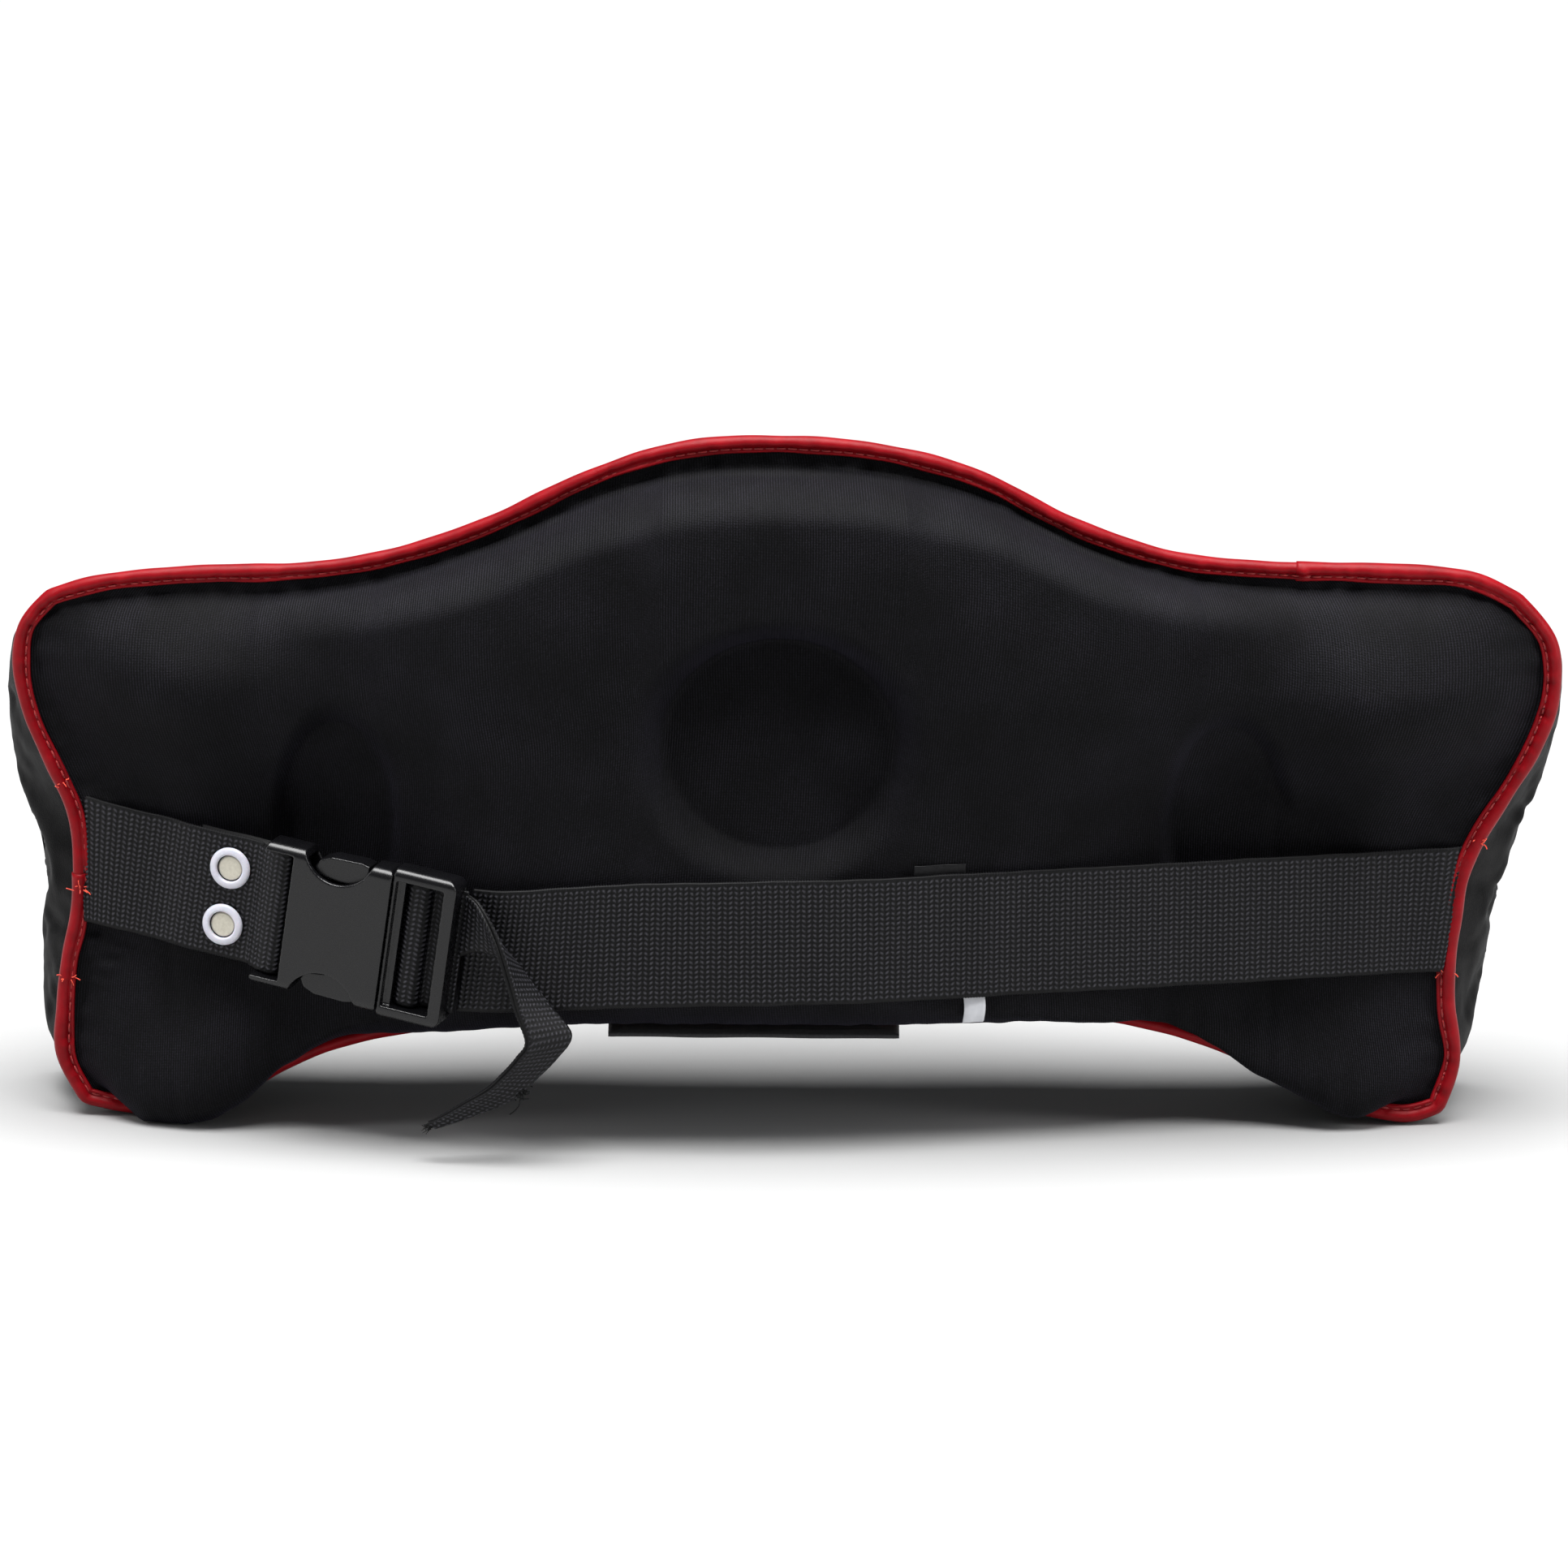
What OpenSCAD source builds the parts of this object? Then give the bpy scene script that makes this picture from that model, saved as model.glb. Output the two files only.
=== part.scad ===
// Lumbar support cushion for an office chair. A moulded foam back with three recesses,
// leather front and boxing, a bound rim, and a webbing strap with a side-release buckle.
// It stands on its two wings. +X is right seen from the rear, -Y is the rear (strap side),
// +Y is the user's side and +Z is up. Outlines are lists of [x, z] points. Other points are
// [x, depth, z], where depth is counted rearwards from the tips of the wings.

/* [Cushion] */
// How far the middle of the rim stands behind its ends
rim_bow = 14; // [10:1:16]
// Depth of the moulded back at its middle
back_depth = 44; // [40:1:44]
// Depth that the back loses from its middle to its ends
back_fall = 20; // [16:1:26]
// Width of the boxing, from the rim to the front edge
boxing_w = 46; // [40:1:52]
// How far the boxing swells outwards
boxing_swell = 4; // [2:0.5:5]
// How far the front edge lies below the rim along the top
top_fall = 15; // [8:1:20]
// Forward crown of the front
front_crown = 20; // [12:1:26]
// Thickness of the moulded back panel
shell_t = 3; // [2:0.5:4]
// Thickness of the leather panels
skin_t = 1.6; // [1:0.2:2]
// Thickness of the soft foam layer behind the leather
comfort_t = 12; // [8:1:16]
// Diameter of the bound edge
binding_d = 5.6; // [4.6:0.2:6]

/* [Recesses] */
// Depth of the three recesses
recess_depth = 11; // [6:1:12]
// Width of their sloping walls
recess_wall = 9; // [7:1:12]
// Half width and half height of the middle recess floor
middle_recess = [34, 31]; // [20:1:40]
// Half width and half height of each side recess floor
side_recess = [16, 33]; // [10:1:36]
// Distance from the middle to each side recess
side_recess_x = 131; // [120:1:140]

/* [Strap] */
// Width of the webbing
strap_w = 38; // [34:1:38]
// Thickness of the webbing
strap_t = 1.5; // [1:0.1:1.6]
// Outer diameter of the two rivet rings
ring_d = 12.8; // [11:0.2:14]
// Distance between the two rivets
rivet_pitch = 17.6; // [15:0.2:20]

/* [Buckle] */
// Length of the socket, from the tips of its arms to its mouth
socket_l = 40; // [40:1:42]
// Width of the socket
socket_w = 44; // [44:1:46]
// Thickness of the buckle
buckle_t = 12; // [12:0.5:14]
// Length of the insert's frame
frame_l = 19.7; // [19:0.1:21]
// Width of the insert's frame
frame_w = 46; // [45:1:48]

/* [Closing flap] */
// Width of the flap under the bottom opening
flap_w = 86; // [70:2:96]
// Length of the flap from its seam to its free edge
flap_l = 27; // [22:1:28]
// Thickness of the flap
flap_t = 2; // [1.5:0.5:2.5]

/* [Hidden] */

$fn = 48;
gap = 0.3;
half_w = 230;       // half of the overall width
depth_shift = 1.5;  // moves the depth zero so that the part's box is centred on Y

// Centre line of the bound rim, from each end of an edge to the other.
rim_bottom = [
    [-206, 5.5], [-190, 3.2], [-168, 5.5], [-143, 20.5], [-115, 29.5], [-86, 33.5],
    [-57, 35.5], [-29, 36], [0, 36], [29, 36], [57, 36.5], [86, 36.5], [115, 31.5],
    [143, 20], [166, 8], [184, 3.2], [195, 5.5]
];
rim_top = [
    [-216, 158.5], [-200, 163.5], [-172, 167], [-143, 168.5], [-115, 173.5], [-86, 184],
    [-57, 198.5], [-29, 207.5], [0, 209.3], [29, 206.8], [57, 199], [86, 184], [115, 174],
    [143, 170.8], [172, 169.5], [200, 167.2], [216, 160]
];
rim_left = [
    [-206, 5.5], [-212.5, 18], [-212.5, 33], [-211, 48], [-208.5, 60], [-207.5, 75],
    [-209, 92], [-216, 108], [-222, 122], [-225, 136], [-223.5, 149], [-216, 158.5]
];
rim_right = [
    [195, 5.5], [199.5, 20], [197.5, 36], [197.5, 50], [199, 63], [201, 76],
    [206, 88], [214, 101], [222, 115], [227, 130], [226, 147], [216, 160]
];
rim = [rim_bottom, rim_top, rim_left, rim_right];

// Front edge, where the boxing meets the leather panels.
front_left = [
    [-212, 5.5], [-215.5, 18], [-216.5, 32], [-217.5, 46], [-218.5, 60], [-220.5, 74],
    [-224, 88], [-226.5, 101], [-226.5, 113], [-225, 125], [-221, 136], [-213, 143.5]
];
front_right = [
    [198, 5.5], [201.5, 17], [205, 29], [208.5, 42], [211.5, 55], [214.5, 68],
    [218, 80], [222, 92], [225, 104], [226, 118], [223, 134], [213, 145]
];
last = len(rim_top) - 1;
front_top = [for (p = rim_top) [p[0] * 213 / 216, p[1] - top_fall]];
front_bottom = [for (i = [0 : last]) rim_bottom[i] + [lerp(-6, 3, i / last), 0]];
front = [front_bottom, front_top, front_left, front_right];

// Insets of the layers inside an outline, as shares of its width and height.
rim_inset = [0.0078, 0.024];
leather_inset = [0.0036, 0.0105];
foam_inset = [0.022, 0.06];
seam_a = 0.27;      // where the front's upright seams lie, as a share of its width
foot_swell = 3;     // extra swell of the boxing under the wings, flattened where it rests
core_gap = 6;       // the core's coarser facets stay clear of the shell by this much

// ---- Curves and patches ----

function lerp(p, q, f) = p + (q - p) * f;
function clamp01(f) = min(max(f, 0), 1);
function smooth(f) = let (c = clamp01(f)) c * c * (3 - 2 * c);
function knot(p, i) = p[min(max(i, 0), len(p) - 1)];

// Smooth curve through the points p, at the share f of its length.
function spline(p, f) =
    let (
        u = clamp01(f) * (len(p) - 1),
        i = min(floor(u), len(p) - 2),
        k = u - i,
        a = knot(p, i - 1),
        b = knot(p, i),
        c = knot(p, i + 1),
        d = knot(p, i + 2)
    )
    (2 * b + (c - a) * k + (2 * a - 5 * b + 4 * c - d) * k * k
        + (3 * b - a - 3 * c + d) * k * k * k) / 2;

// Point at [a, b] of the patch inside four edges [bottom, top, left, right].
function patch(edges, a, b) =
    let (
        low = lerp(edges[0][0], edges[0][len(edges[0]) - 1], a),
        high = lerp(edges[1][0], edges[1][len(edges[1]) - 1], a)
    )
    lerp(spline(edges[0], a), spline(edges[1], a), b)
        + lerp(spline(edges[2], b), spline(edges[3], b), a)
        - lerp(low, high, b);

// Shares along one side of a layer that is inset by i at both ends.
function shares(n, i) = [for (k = [0 : n]) lerp(i, 1 - i, k / n)];

// A point [x, depth, z] in the part's own frame.
function place(p) = [p[0], depth_shift - p[1], p[2]];

// ---- Depths of the surfaces ----

function rim_depth(x) = rim_bow * (1 - pow(x / half_w, 2));
function round_rise(d, w) = sqrt(1 - pow(1 - clamp01(d / w), 2));
function soft_rise(d, w) = 1 - pow(1 - clamp01(d / w), 2);

buckle_at = [-150.6, 22, 70.8];   // tips of the socket's arms, at the back of the buckle
buckle_roll = 8;
buckle_yaw = 19;

// Room that the strap and the buckle need: the back stays below this line behind them.
strap_low = 2.4;
left_slope = tan(buckle_yaw);
right_slope = 0.2155;
function strap_z(x) = x < -95
    ? lerp(79, 62.5, clamp01((x + 207) / 112))
    : lerp(62.5, 66, clamp01((x + 95) / 60));
function strap_room(x) = min(
    strap_low + (x + 204) * left_slope,
    strap_low + 1.5 + (196 - x) * right_slope,
    back_depth
);
function in_band(x, z) = smooth((42 - abs(z - strap_z(x))) / 16);

// One recess: 1 on its floor, falling to 0 at the top of its wall.
function dent(p, centre, size) =
    let (r = norm([(p[0] - centre[0]) / size[0], (p[1] - centre[1]) / size[1]]))
    smooth(1 - (r - 1) * min(size[0], size[1]) / recess_wall);
function dents(p) = recess_depth * max(
    dent(p, [-1, 122], middle_recess),
    dent(p, [-side_recess_x, 93], side_recess) * 0.8,
    dent(p, [side_recess_x, 93], side_recess) * 0.8
);

// Outer surface of the moulded back.
function back_at(a, b) =
    let (
        p = patch(rim, a, b),
        top = norm(patch(rim, a, 1) - p) - 6,
        bottom = norm(p - patch(rim, a, 0)) - 5,
        side = min(norm(p - patch(rim, 0, b)), norm(patch(rim, 1, b) - p)) - 4,
        edge = rim_depth(p[0]),
        full = back_depth - back_fall * pow(p[0] / half_w, 2),
        rise = round_rise(top, 32) * round_rise(bottom, 24) * soft_rise(side, 75),
        free = lerp(edge, full, rise),
        held = free - max(0, free - strap_room(p[0])) * in_band(p[0], p[1]),
        depth = max(edge, held - dents(p))
    )
    [p[0], depth, p[1]];

// Outer surface of the front.
function front_at(a, b) =
    let (
        p = patch(front, a, b),
        top = norm(patch(front, a, 1) - p),
        bottom = norm(p - patch(front, a, 0)),
        side = min(norm(p - patch(front, 0, b)), norm(patch(front, 1, b) - p)),
        wing = smooth((abs(p[0]) - 60) / 90),
        crown = front_crown * lerp(1.25, 0.7, wing),
        rise = soft_rise(top, 60) * soft_rise(bottom, 45) * soft_rise(side, 60)
    )
    [p[0], rim_depth(p[0]) - boxing_w - crown * rise, p[1]];

// Outer surface of the boxing at the share c from rim to front edge, inset by i.
function boxing_at(a, b, c, i) =
    let (
        ra = lerp(rim_inset[0] + i[0], 1 - rim_inset[0] - i[0], a),
        rb = lerp(rim_inset[1] + i[1], 1 - rim_inset[1] - i[1], b),
        r = patch(rim, ra, rb),
        f = patch(front, lerp(i[0], 1 - i[0], a), lerp(i[1], 1 - i[1], b)),
        fade = a == 0 || a == 1 ? smooth(b / 0.12) * smooth((1 - b) / 0.12)
                                : smooth(a / 0.03) * smooth((1 - a) / 0.03),
        under = a > 0 && a < 1 && b == 0 ? smooth((abs(r[0]) - 120) / 40) : 0,
        swell = fade * (boxing_swell + foot_swell * under) * pow(sin(180 * c), 1 - 0.4 * under),
        out = a == 0 ? [-1, 0] : a == 1 ? [1, 0] : b == 0 ? [0, -1] : [0, 1],
        p = lerp(r, f, c) + out * swell,
        rear = rim_depth(r[0]) - shell_t - gap,
        fore = rim_depth(f[0]) - boxing_w + skin_t + gap,
        floor_z = i[0] > 0 ? skin_t : 0
    )
    [p[0], lerp(rear, fore, c), max(p[1], floor_z)];

// ---- Solids from grids of points ----

// Closed solid between two grids of the same size: outer grid p and inner grid q.
module slab(p, q) {
    n = len(p);
    m = len(p[0]);
    points = [for (grid = [p, q]) for (row = grid) for (v = row) place(v)];
    base = n * m;
    function id(g, i, j) = g * base + i * m + j;
    outer = [for (i = [0 : n - 2]) for (j = [0 : m - 2])
        for (t = [[id(0, i, j), id(0, i + 1, j), id(0, i + 1, j + 1)],
                  [id(0, i, j), id(0, i + 1, j + 1), id(0, i, j + 1)]]) t];
    inner = [for (i = [0 : n - 2]) for (j = [0 : m - 2])
        for (t = [[id(1, i, j), id(1, i + 1, j + 1), id(1, i + 1, j)],
                  [id(1, i, j), id(1, i, j + 1), id(1, i + 1, j + 1)]]) t];
    ends = [for (j = [0 : m - 2])
        for (t = [[id(0, 0, j), id(0, 0, j + 1), id(1, 0, j + 1)],
                  [id(0, 0, j), id(1, 0, j + 1), id(1, 0, j)],
                  [id(0, n - 1, j), id(1, n - 1, j + 1), id(0, n - 1, j + 1)],
                  [id(0, n - 1, j), id(1, n - 1, j), id(1, n - 1, j + 1)]]) t];
    sides = [for (i = [0 : n - 2])
        for (t = [[id(0, i, 0), id(1, i + 1, 0), id(0, i + 1, 0)],
                  [id(0, i, 0), id(1, i, 0), id(1, i + 1, 0)],
                  [id(0, i, m - 1), id(0, i + 1, m - 1), id(1, i + 1, m - 1)],
                  [id(0, i, m - 1), id(1, i + 1, m - 1), id(1, i, m - 1)]]) t];
    polyhedron(points, concat(outer, inner, ends, sides), convexity = 6);
}

function deeper(grid, d) = [for (row = grid) [for (v = row) v + [0, d, 0]]];

// ---- Cushion ----

back_grid = [for (a = shares(56, rim_inset[0])) [for (b = shares(25, rim_inset[1])) back_at(a, b)]];
core_back = [for (a = shares(26, foam_inset[0])) [for (b = shares(11, foam_inset[1])) back_at(a, b)]];
core_front = [for (a = shares(26, foam_inset[0])) [for (b = shares(11, foam_inset[1])) front_at(a, b)]];

module back_panel() {
    color([0.13, 0.13, 0.15]) slab(back_grid, deeper(back_grid, -shell_t));
}

module foam_core() {
    color([0.9, 0.86, 0.7])
        slab(deeper(core_back, -shell_t - core_gap), deeper(core_front, skin_t + comfort_t + 2));
}

module comfort_layer() {
    color([0.95, 0.93, 0.85])
        slab(deeper(core_front, skin_t + comfort_t + 1), deeper(core_front, skin_t + 1));
}

// One leather panel of the front, between the shares a0 and a1 of its width.
module front_piece(a0, a1, columns) {
    grid = [for (i = [0 : columns]) [for (b = shares(11, 0)) front_at(lerp(a0, a1, i / columns), b)]];
    color([0.09, 0.09, 0.1]) slab(deeper(grid, skin_t), grid);
}

module front_wing_left() front_piece(0, seam_a, 8);
module front_panel() front_piece(seam_a, 1 - seam_a, 12);
module front_wing_right() front_piece(1 - seam_a, 1, 8);

// One strip of boxing: across at fixed b when along_a is true, else upright at fixed a.
module boxing(along_a, fixed, n, flip) {
    rows = [0, 0.16, 0.32, 0.5, 0.68, 0.84, 1];
    function strip(i) = [for (k = [0 : n]) [for (c = rows)
        along_a ? boxing_at(k / n, fixed, c, i) : boxing_at(fixed, k / n, c, i)]];
    outer = strip([0, 0]);
    inner = strip(leather_inset);
    color([0.08, 0.08, 0.09])
        slab(flip ? inner : outer, flip ? outer : inner);
}

module boxing_top() boxing(true, 1, 34, true);
module boxing_bottom() boxing(true, 0, 34, false);
module boxing_left() boxing(false, 0, 16, true);
module boxing_right() boxing(false, 1, 16, false);

// Rim point at q, which runs 0 to 4 round the left, top, right and bottom edges.
function rim_point(q) =
    let (
        s = q >= 4 ? q - 4 : q,
        p = s < 1 ? spline(rim_left, s)
            : s < 2 ? spline(rim_top, s - 1)
            : s < 3 ? spline(rim_right, 3 - s)
            : spline(rim_bottom, 4 - s)
    )
    [p[0], rim_depth(p[0]), p[1]];

// A tube along the rim between q0 and q1, with one ring at each step.
module binding(q0, q1, steps) {
    sides = 8;
    rings = [for (k = [0 : steps])
        let (
            q = lerp(q0, q1, k / steps),
            here = rim_point(q),
            ahead = rim_point(min(q + 0.004, q1)) - rim_point(max(q - 0.004, q0)),
            across = [-ahead[2], 0, ahead[0]] / norm([ahead[0], ahead[2]])
        )
        [for (s = [0 : sides - 1])
            here + binding_d / 2 * (across * cos(360 * s / sides) + [0, sin(360 * s / sides), 0])]];
    points = [for (ring = rings) for (v = ring) place(v)];
    function id(i, s) = i * sides + s % sides;
    walls = [for (i = [0 : steps - 1]) for (s = [0 : sides - 1])
        for (t = [[id(i, s), id(i, s + 1), id(i + 1, s + 1)],
                  [id(i, s), id(i + 1, s + 1), id(i + 1, s)]]) t];
    start = [[for (s = [0 : sides - 1]) id(0, sides - 1 - s)]];
    end = [[for (s = [0 : sides - 1]) id(steps, s)]];
    color([0.75, 0.08, 0.12]) polyhedron(points, concat(walls, start, end), convexity = 8);
}

join_left = 0.425;
join_right = 1.84;
join_gap = 0.001;
module binding_upper() binding(join_left + join_gap, join_right - join_gap, 50);
module binding_lower() binding(join_right + join_gap, join_left + 4 - join_gap, 68);

// ---- Labels and the closing flap ----

flap_x = -8;
flap_top_z = 32.4;
flap_rear = 24;
tape_t = 0.8;
tape_margin = 4;
tape_w = 10;

// A plate given by its low corner [x, depth, z] and size, with depth counted rearwards.
module plate(low, size) {
    translate([low[0], depth_shift - low[1] - size[1], low[2]]) cube(size);
}

// The flap turns about its rolled front edge.
module closing_flap() {
    color([0.1, 0.1, 0.11]) {
        plate([flap_x - flap_w / 2, flap_rear - flap_l, flap_top_z - flap_t], [flap_w, flap_l, flap_t]);
        translate(place([flap_x, flap_rear - flap_l, flap_top_z - flap_t / 2])) rotate([0, 90, 0])
            cylinder(r = flap_t / 2, h = flap_w, center = true);
    }
}

module loop_tape() {
    color([0.16, 0.16, 0.17])
        plate([flap_x - flap_w / 2 + tape_margin, -2, flap_top_z],
            [flap_w - 2 * tape_margin, tape_w, tape_t]);
}

module hook_tape() {
    color([0.05, 0.05, 0.06])
        plate([flap_x - flap_w / 2 + tape_margin, -2, flap_top_z + tape_t + 0.1],
            [flap_w - 2 * tape_margin, tape_w, 1.5 * tape_t]);
}

module care_label() {
    color([0.95, 0.95, 0.95]) plate([53.5, 34, 38.5], [6, 0.4, 9.5]);
}

module blank_tag() {
    color([0.05, 0.05, 0.05])
        ribbon([[[39, 38.4, 87.4], [39, 38.4, 82]], [[54, 35.1, 87.4], [54, 35.1, 82]]], 0.4);
}

// ---- Buckle frame: x along the strap, z across it, y = -height above the cushion ----

bar_r = 2;
bar_at = [4.6, 5];                // socket bar: along the strap, height
wall = 2;
slot_w = 38.8;                    // clear width of the webbing slots
mouth_w = 39.2;                   // clear width of the socket's mouth

module buckle_space() {
    translate(place(buckle_at)) rotate([0, 0, -buckle_yaw]) rotate([0, buckle_roll, 0]) children();
}

// Extrudes an outline drawn in [along, across] from height h0 to h1.
module raise(h0, h1) {
    translate([0, -h0, 0]) rotate([90, 0, 0]) linear_extrude(h1 - h0) children();
}

// Extrudes an outline drawn in [along, height] over the width w, centred.
module across(w) {
    translate([0, 0, -w / 2]) linear_extrude(w) mirror([0, 1, 0]) children();
}

module rounded(x0, x1, w, r) {
    translate([x0 + r, -w / 2]) square([x1 - x0 - 2 * r, w]);
    translate([x0, -w / 2 + r]) square([x1 - x0, w - 2 * r]);
    for (x = [x0 + r, x1 - r], y = [-w / 2 + r, w / 2 - r]) translate([x, y]) circle(r);
}

// Rounds the long edges of a buckle piece: a bar along the strap with a rounded section.
module edge_rounding(x0, x1, w, h0, h1, r) {
    translate([x0, 0, 0]) rotate([0, 90, 0]) rotate([0, 0, 90]) linear_extrude(x1 - x0)
        translate([-(h0 + h1) / 2, 0]) rounded(-(h1 - h0) / 2, (h1 - h0) / 2, w, r);
}

scoop_x = 22.8;
scoop_r = 11;
scoop_depth = 8;
arm_w = (socket_w - slot_w) / 2;
arm_l = 9;

module socket_outline() {
    difference() {
        rounded(0, socket_l, socket_w, 1.6);
        translate([-1, -slot_w / 2]) square([arm_l + 1, slot_w]);
        for (s = [-1, 1]) translate([scoop_x, s * (socket_w / 2 + scoop_r - scoop_depth)]) circle(scoop_r);
    }
}

module buckle_socket() {
    color([0.07, 0.07, 0.08]) buckle_space() {
        difference() {
            intersection() {
                raise(0, buckle_t) socket_outline();
                edge_rounding(0, socket_l, socket_w, 0, buckle_t, 3);
            }
            raise(wall, buckle_t - wall) translate([arm_l + wall, -mouth_w / 2]) square([socket_l, mouth_w]);
        }
        translate([bar_at[0], -bar_at[1], 0]) cylinder(r = bar_r, h = slot_w + 2 * wall, center = true);
    }
}

frame_x = socket_l + gap;
frame_end = frame_x + frame_l;
base_end = frame_x + 3.4;
bar_x = [frame_x + 5.4, frame_x + 9.1];
outer_bar_x = frame_end - 3.8;
pivot_x = frame_x + 1.7;
pivot_z = 12;
pivot_r = 1.3;
tongue_w = 9;
tongue_x = 16;
pad_end = 32.5;                   // the prongs' finger pads end here, towards the pivots

module buckle_insert() {
    color([0.07, 0.07, 0.08]) buckle_space() {
        difference() {
            intersection() {
                raise(1, buckle_t - 0.8) rounded(frame_x - 4, frame_end, frame_w, 3.5);
                edge_rounding(frame_x, frame_end, frame_w, 1, buckle_t - 0.8, 2.5);
            }
            raise(0, buckle_t) translate([base_end, -slot_w / 2]) square([outer_bar_x - base_end, slot_w]);
            raise(0, 4.4) translate([base_end, -slot_w / 2]) square([frame_l, slot_w]);
            raise(9, buckle_t) translate([frame_x + 1, -slot_w / 2]) square([3, slot_w]);
            for (s = [-1, 1]) {
                translate([pivot_x, -6, s * pivot_z]) rotate([90, 0, 0])
                    cylinder(r = pivot_r + 0.15, h = 5.2, center = true);
                raise(3.4, 8.6) translate([frame_x - 1, s * pivot_z - 2.3]) square([2.7, 4.6]);
            }
        }
        raise(3.2, 6.4) translate([bar_x[0], -slot_w / 2 - 1]) square([bar_x[1] - bar_x[0], slot_w + 2]);
        raise(5, 7) translate([tongue_x, -tongue_w / 2]) square([base_end - tongue_x - 1, tongue_w]);
    }
}

// Outline of the upper prong: its root on the pivot, its arm, shoulder and finger pad.
prong_outline = [
    [pivot_x, 10.9], [pivot_x, 13.1], [32.8, 17.6], [32, 18.2], [32, 21], [29.5, 21.6],
    [20, 21.3], [16.6, 19.8], [15.2, 17.4], [16.4, 15.2], [24, 14.2], [31, 14.4], [34, 13.9]
];

module prong(side) {
    color([0.07, 0.07, 0.08]) buckle_space() {
        raise(3.8, 8.2) scale([1, side]) polygon(prong_outline);
        raise(2.4, buckle_t - 2.4) scale([1, side])
            polygon([for (p = prong_outline) if (p[0] < pad_end) p]);
        translate([pivot_x, -6, side * pivot_z]) rotate([90, 0, 0]) cylinder(r = pivot_r, h = 4.4, center = true);
    }
}

module prong_upper() prong(1);
module prong_lower() prong(-1);

// ---- Webbing ----

// Outline of webbing that follows a path of [along, height] points.
function side_of(path, d) = [for (i = [0 : len(path) - 1])
    let (t = knot(path, i + 1) - knot(path, i - 1)) path[i] + d * [-t[1], t[0]] / norm(t)];
module web(path) {
    left = side_of(path, strap_t / 2);
    right = side_of(path, -strap_t / 2);
    polygon(concat(left, [for (i = [len(right) - 1 : -1 : 0]) right[i]]));
}

turn_r = bar_r + 0.2 + strap_t / 2;
stub_path = concat(
    [[-54.5, 1.5], [-34, 1.5], [-24, 3.0], [-5.6, 3.1], [-2, 4.8], [1.6, 7.1]],
    [for (t = [100 : -20 : -100]) bar_at + turn_r * [cos(t), sin(t)]],
    [[-2, 1.4], [-10, 1.25], [-24, 1.2]]
);
rivet_x = -12.6;

module at_rivets(h0, h1) {
    for (s = [-1, 1]) raise(h0, h1) translate([rivet_x, s * rivet_pitch / 2]) children();
}

module strap_left() {
    color([0.12, 0.12, 0.13]) buckle_space() {
        difference() {
            across(strap_w) web(stub_path);
            at_rivets(-2, 8) circle(2);
        }
    }
}

module rivet_rings() {
    color([0.88, 0.88, 0.95]) buckle_space() at_rivets(3.95, 5.3) {
        difference() {
            circle(d = ring_d);
            circle(4);
        }
    }
}

module rivet_caps() {
    color([0.75, 0.73, 0.7]) buckle_space() {
        at_rivets(3.95, 4.7) circle(3.8);
        at_rivets(0, 4) circle(1.8);
    }
}

module rivet_backs() {
    color([0.75, 0.73, 0.7]) buckle_space() at_rivets(-0.5, -0.1) circle(5);
}

loop_h = 1.2;
loop_path = concat(
    [[frame_end - 0.4, loop_h], [bar_x[1] + 1, loop_h], [bar_x[0] + 0.6, loop_h + 0.1]],
    [[bar_x[0] - 0.9, 2.4], [bar_x[0] - 1.0, 4.8], [bar_x[0] - 0.9, 6.4], [bar_x[0] + 0.4, 7.45]],
    [[bar_x[1] - 0.4, 7.45], [bar_x[1] + 0.9, 6.4], [bar_x[1] + 1.1, 4.8], [bar_x[1] + 2.2, 3.5]],
    [[outer_bar_x - 0.5, 3.2], [frame_end + 1.5, 3.2]]
);

module strap_loop() {
    color([0.12, 0.12, 0.13]) buckle_space() across(strap_w) web(loop_path);
}

// A flat ribbon between two edges, given as pairs of [x, depth, z] points.
module ribbon(pairs, thick) {
    grid = [for (pair = pairs) [pair[1], pair[0]]];
    offsets = [for (i = [0 : len(grid) - 1])
        let (
            run = knot(grid, i + 1)[0] + knot(grid, i + 1)[1] - knot(grid, i - 1)[0] - knot(grid, i - 1)[1],
            n = cross(grid[i][1] - grid[i][0], run)
        )
        thick / 2 * n / norm(n)];
    slab(
        [for (i = [0 : len(grid) - 1]) [for (v = grid[i]) v + offsets[i]]],
        [for (i = [0 : len(grid) - 1]) [for (v = grid[i]) v - offsets[i]]]
    );
}

// Middle line of the long strap: [x, depth, z, lean of its width towards the buckle's].
long_strap = [
    [194, 6.1, 66.3, 0], [180, 9.1, 66.3, 0], [150, 15.6, 66.2, 0], [120, 22.0, 66, 0], [90, 28.5, 66, 0],
    [60, 35.0, 65.9, 0], [35, 40.4, 65.8, 0], [20, 43.4, 65.8, 0], [5, 45.1, 65.8, 0], [-15, 45.7, 65.5, 0],
    [-45, 45.8, 64.7, 0.2], [-65, 45.8, 63.6, 0.5], [-77, 45.4, 62.9, 0.8], [-84, 44.7, 62.5, 1],
    [-88.8, 43.4, 62.3, 1], [-92.8, 42, 62.2, 1]
];
module strap_right() {
    lean = [sin(buckle_roll) * cos(buckle_yaw), sin(buckle_roll) * sin(buckle_yaw), 0];
    pairs = [for (p = long_strap)
        let (half = strap_w / 2 * (lean * p[3] + [0, 0, 1]), mid = [p[0], p[1], p[2]])
        [mid + half, mid - half]];
    color([0.12, 0.12, 0.13]) ribbon(pairs, strap_t);
}

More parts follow.
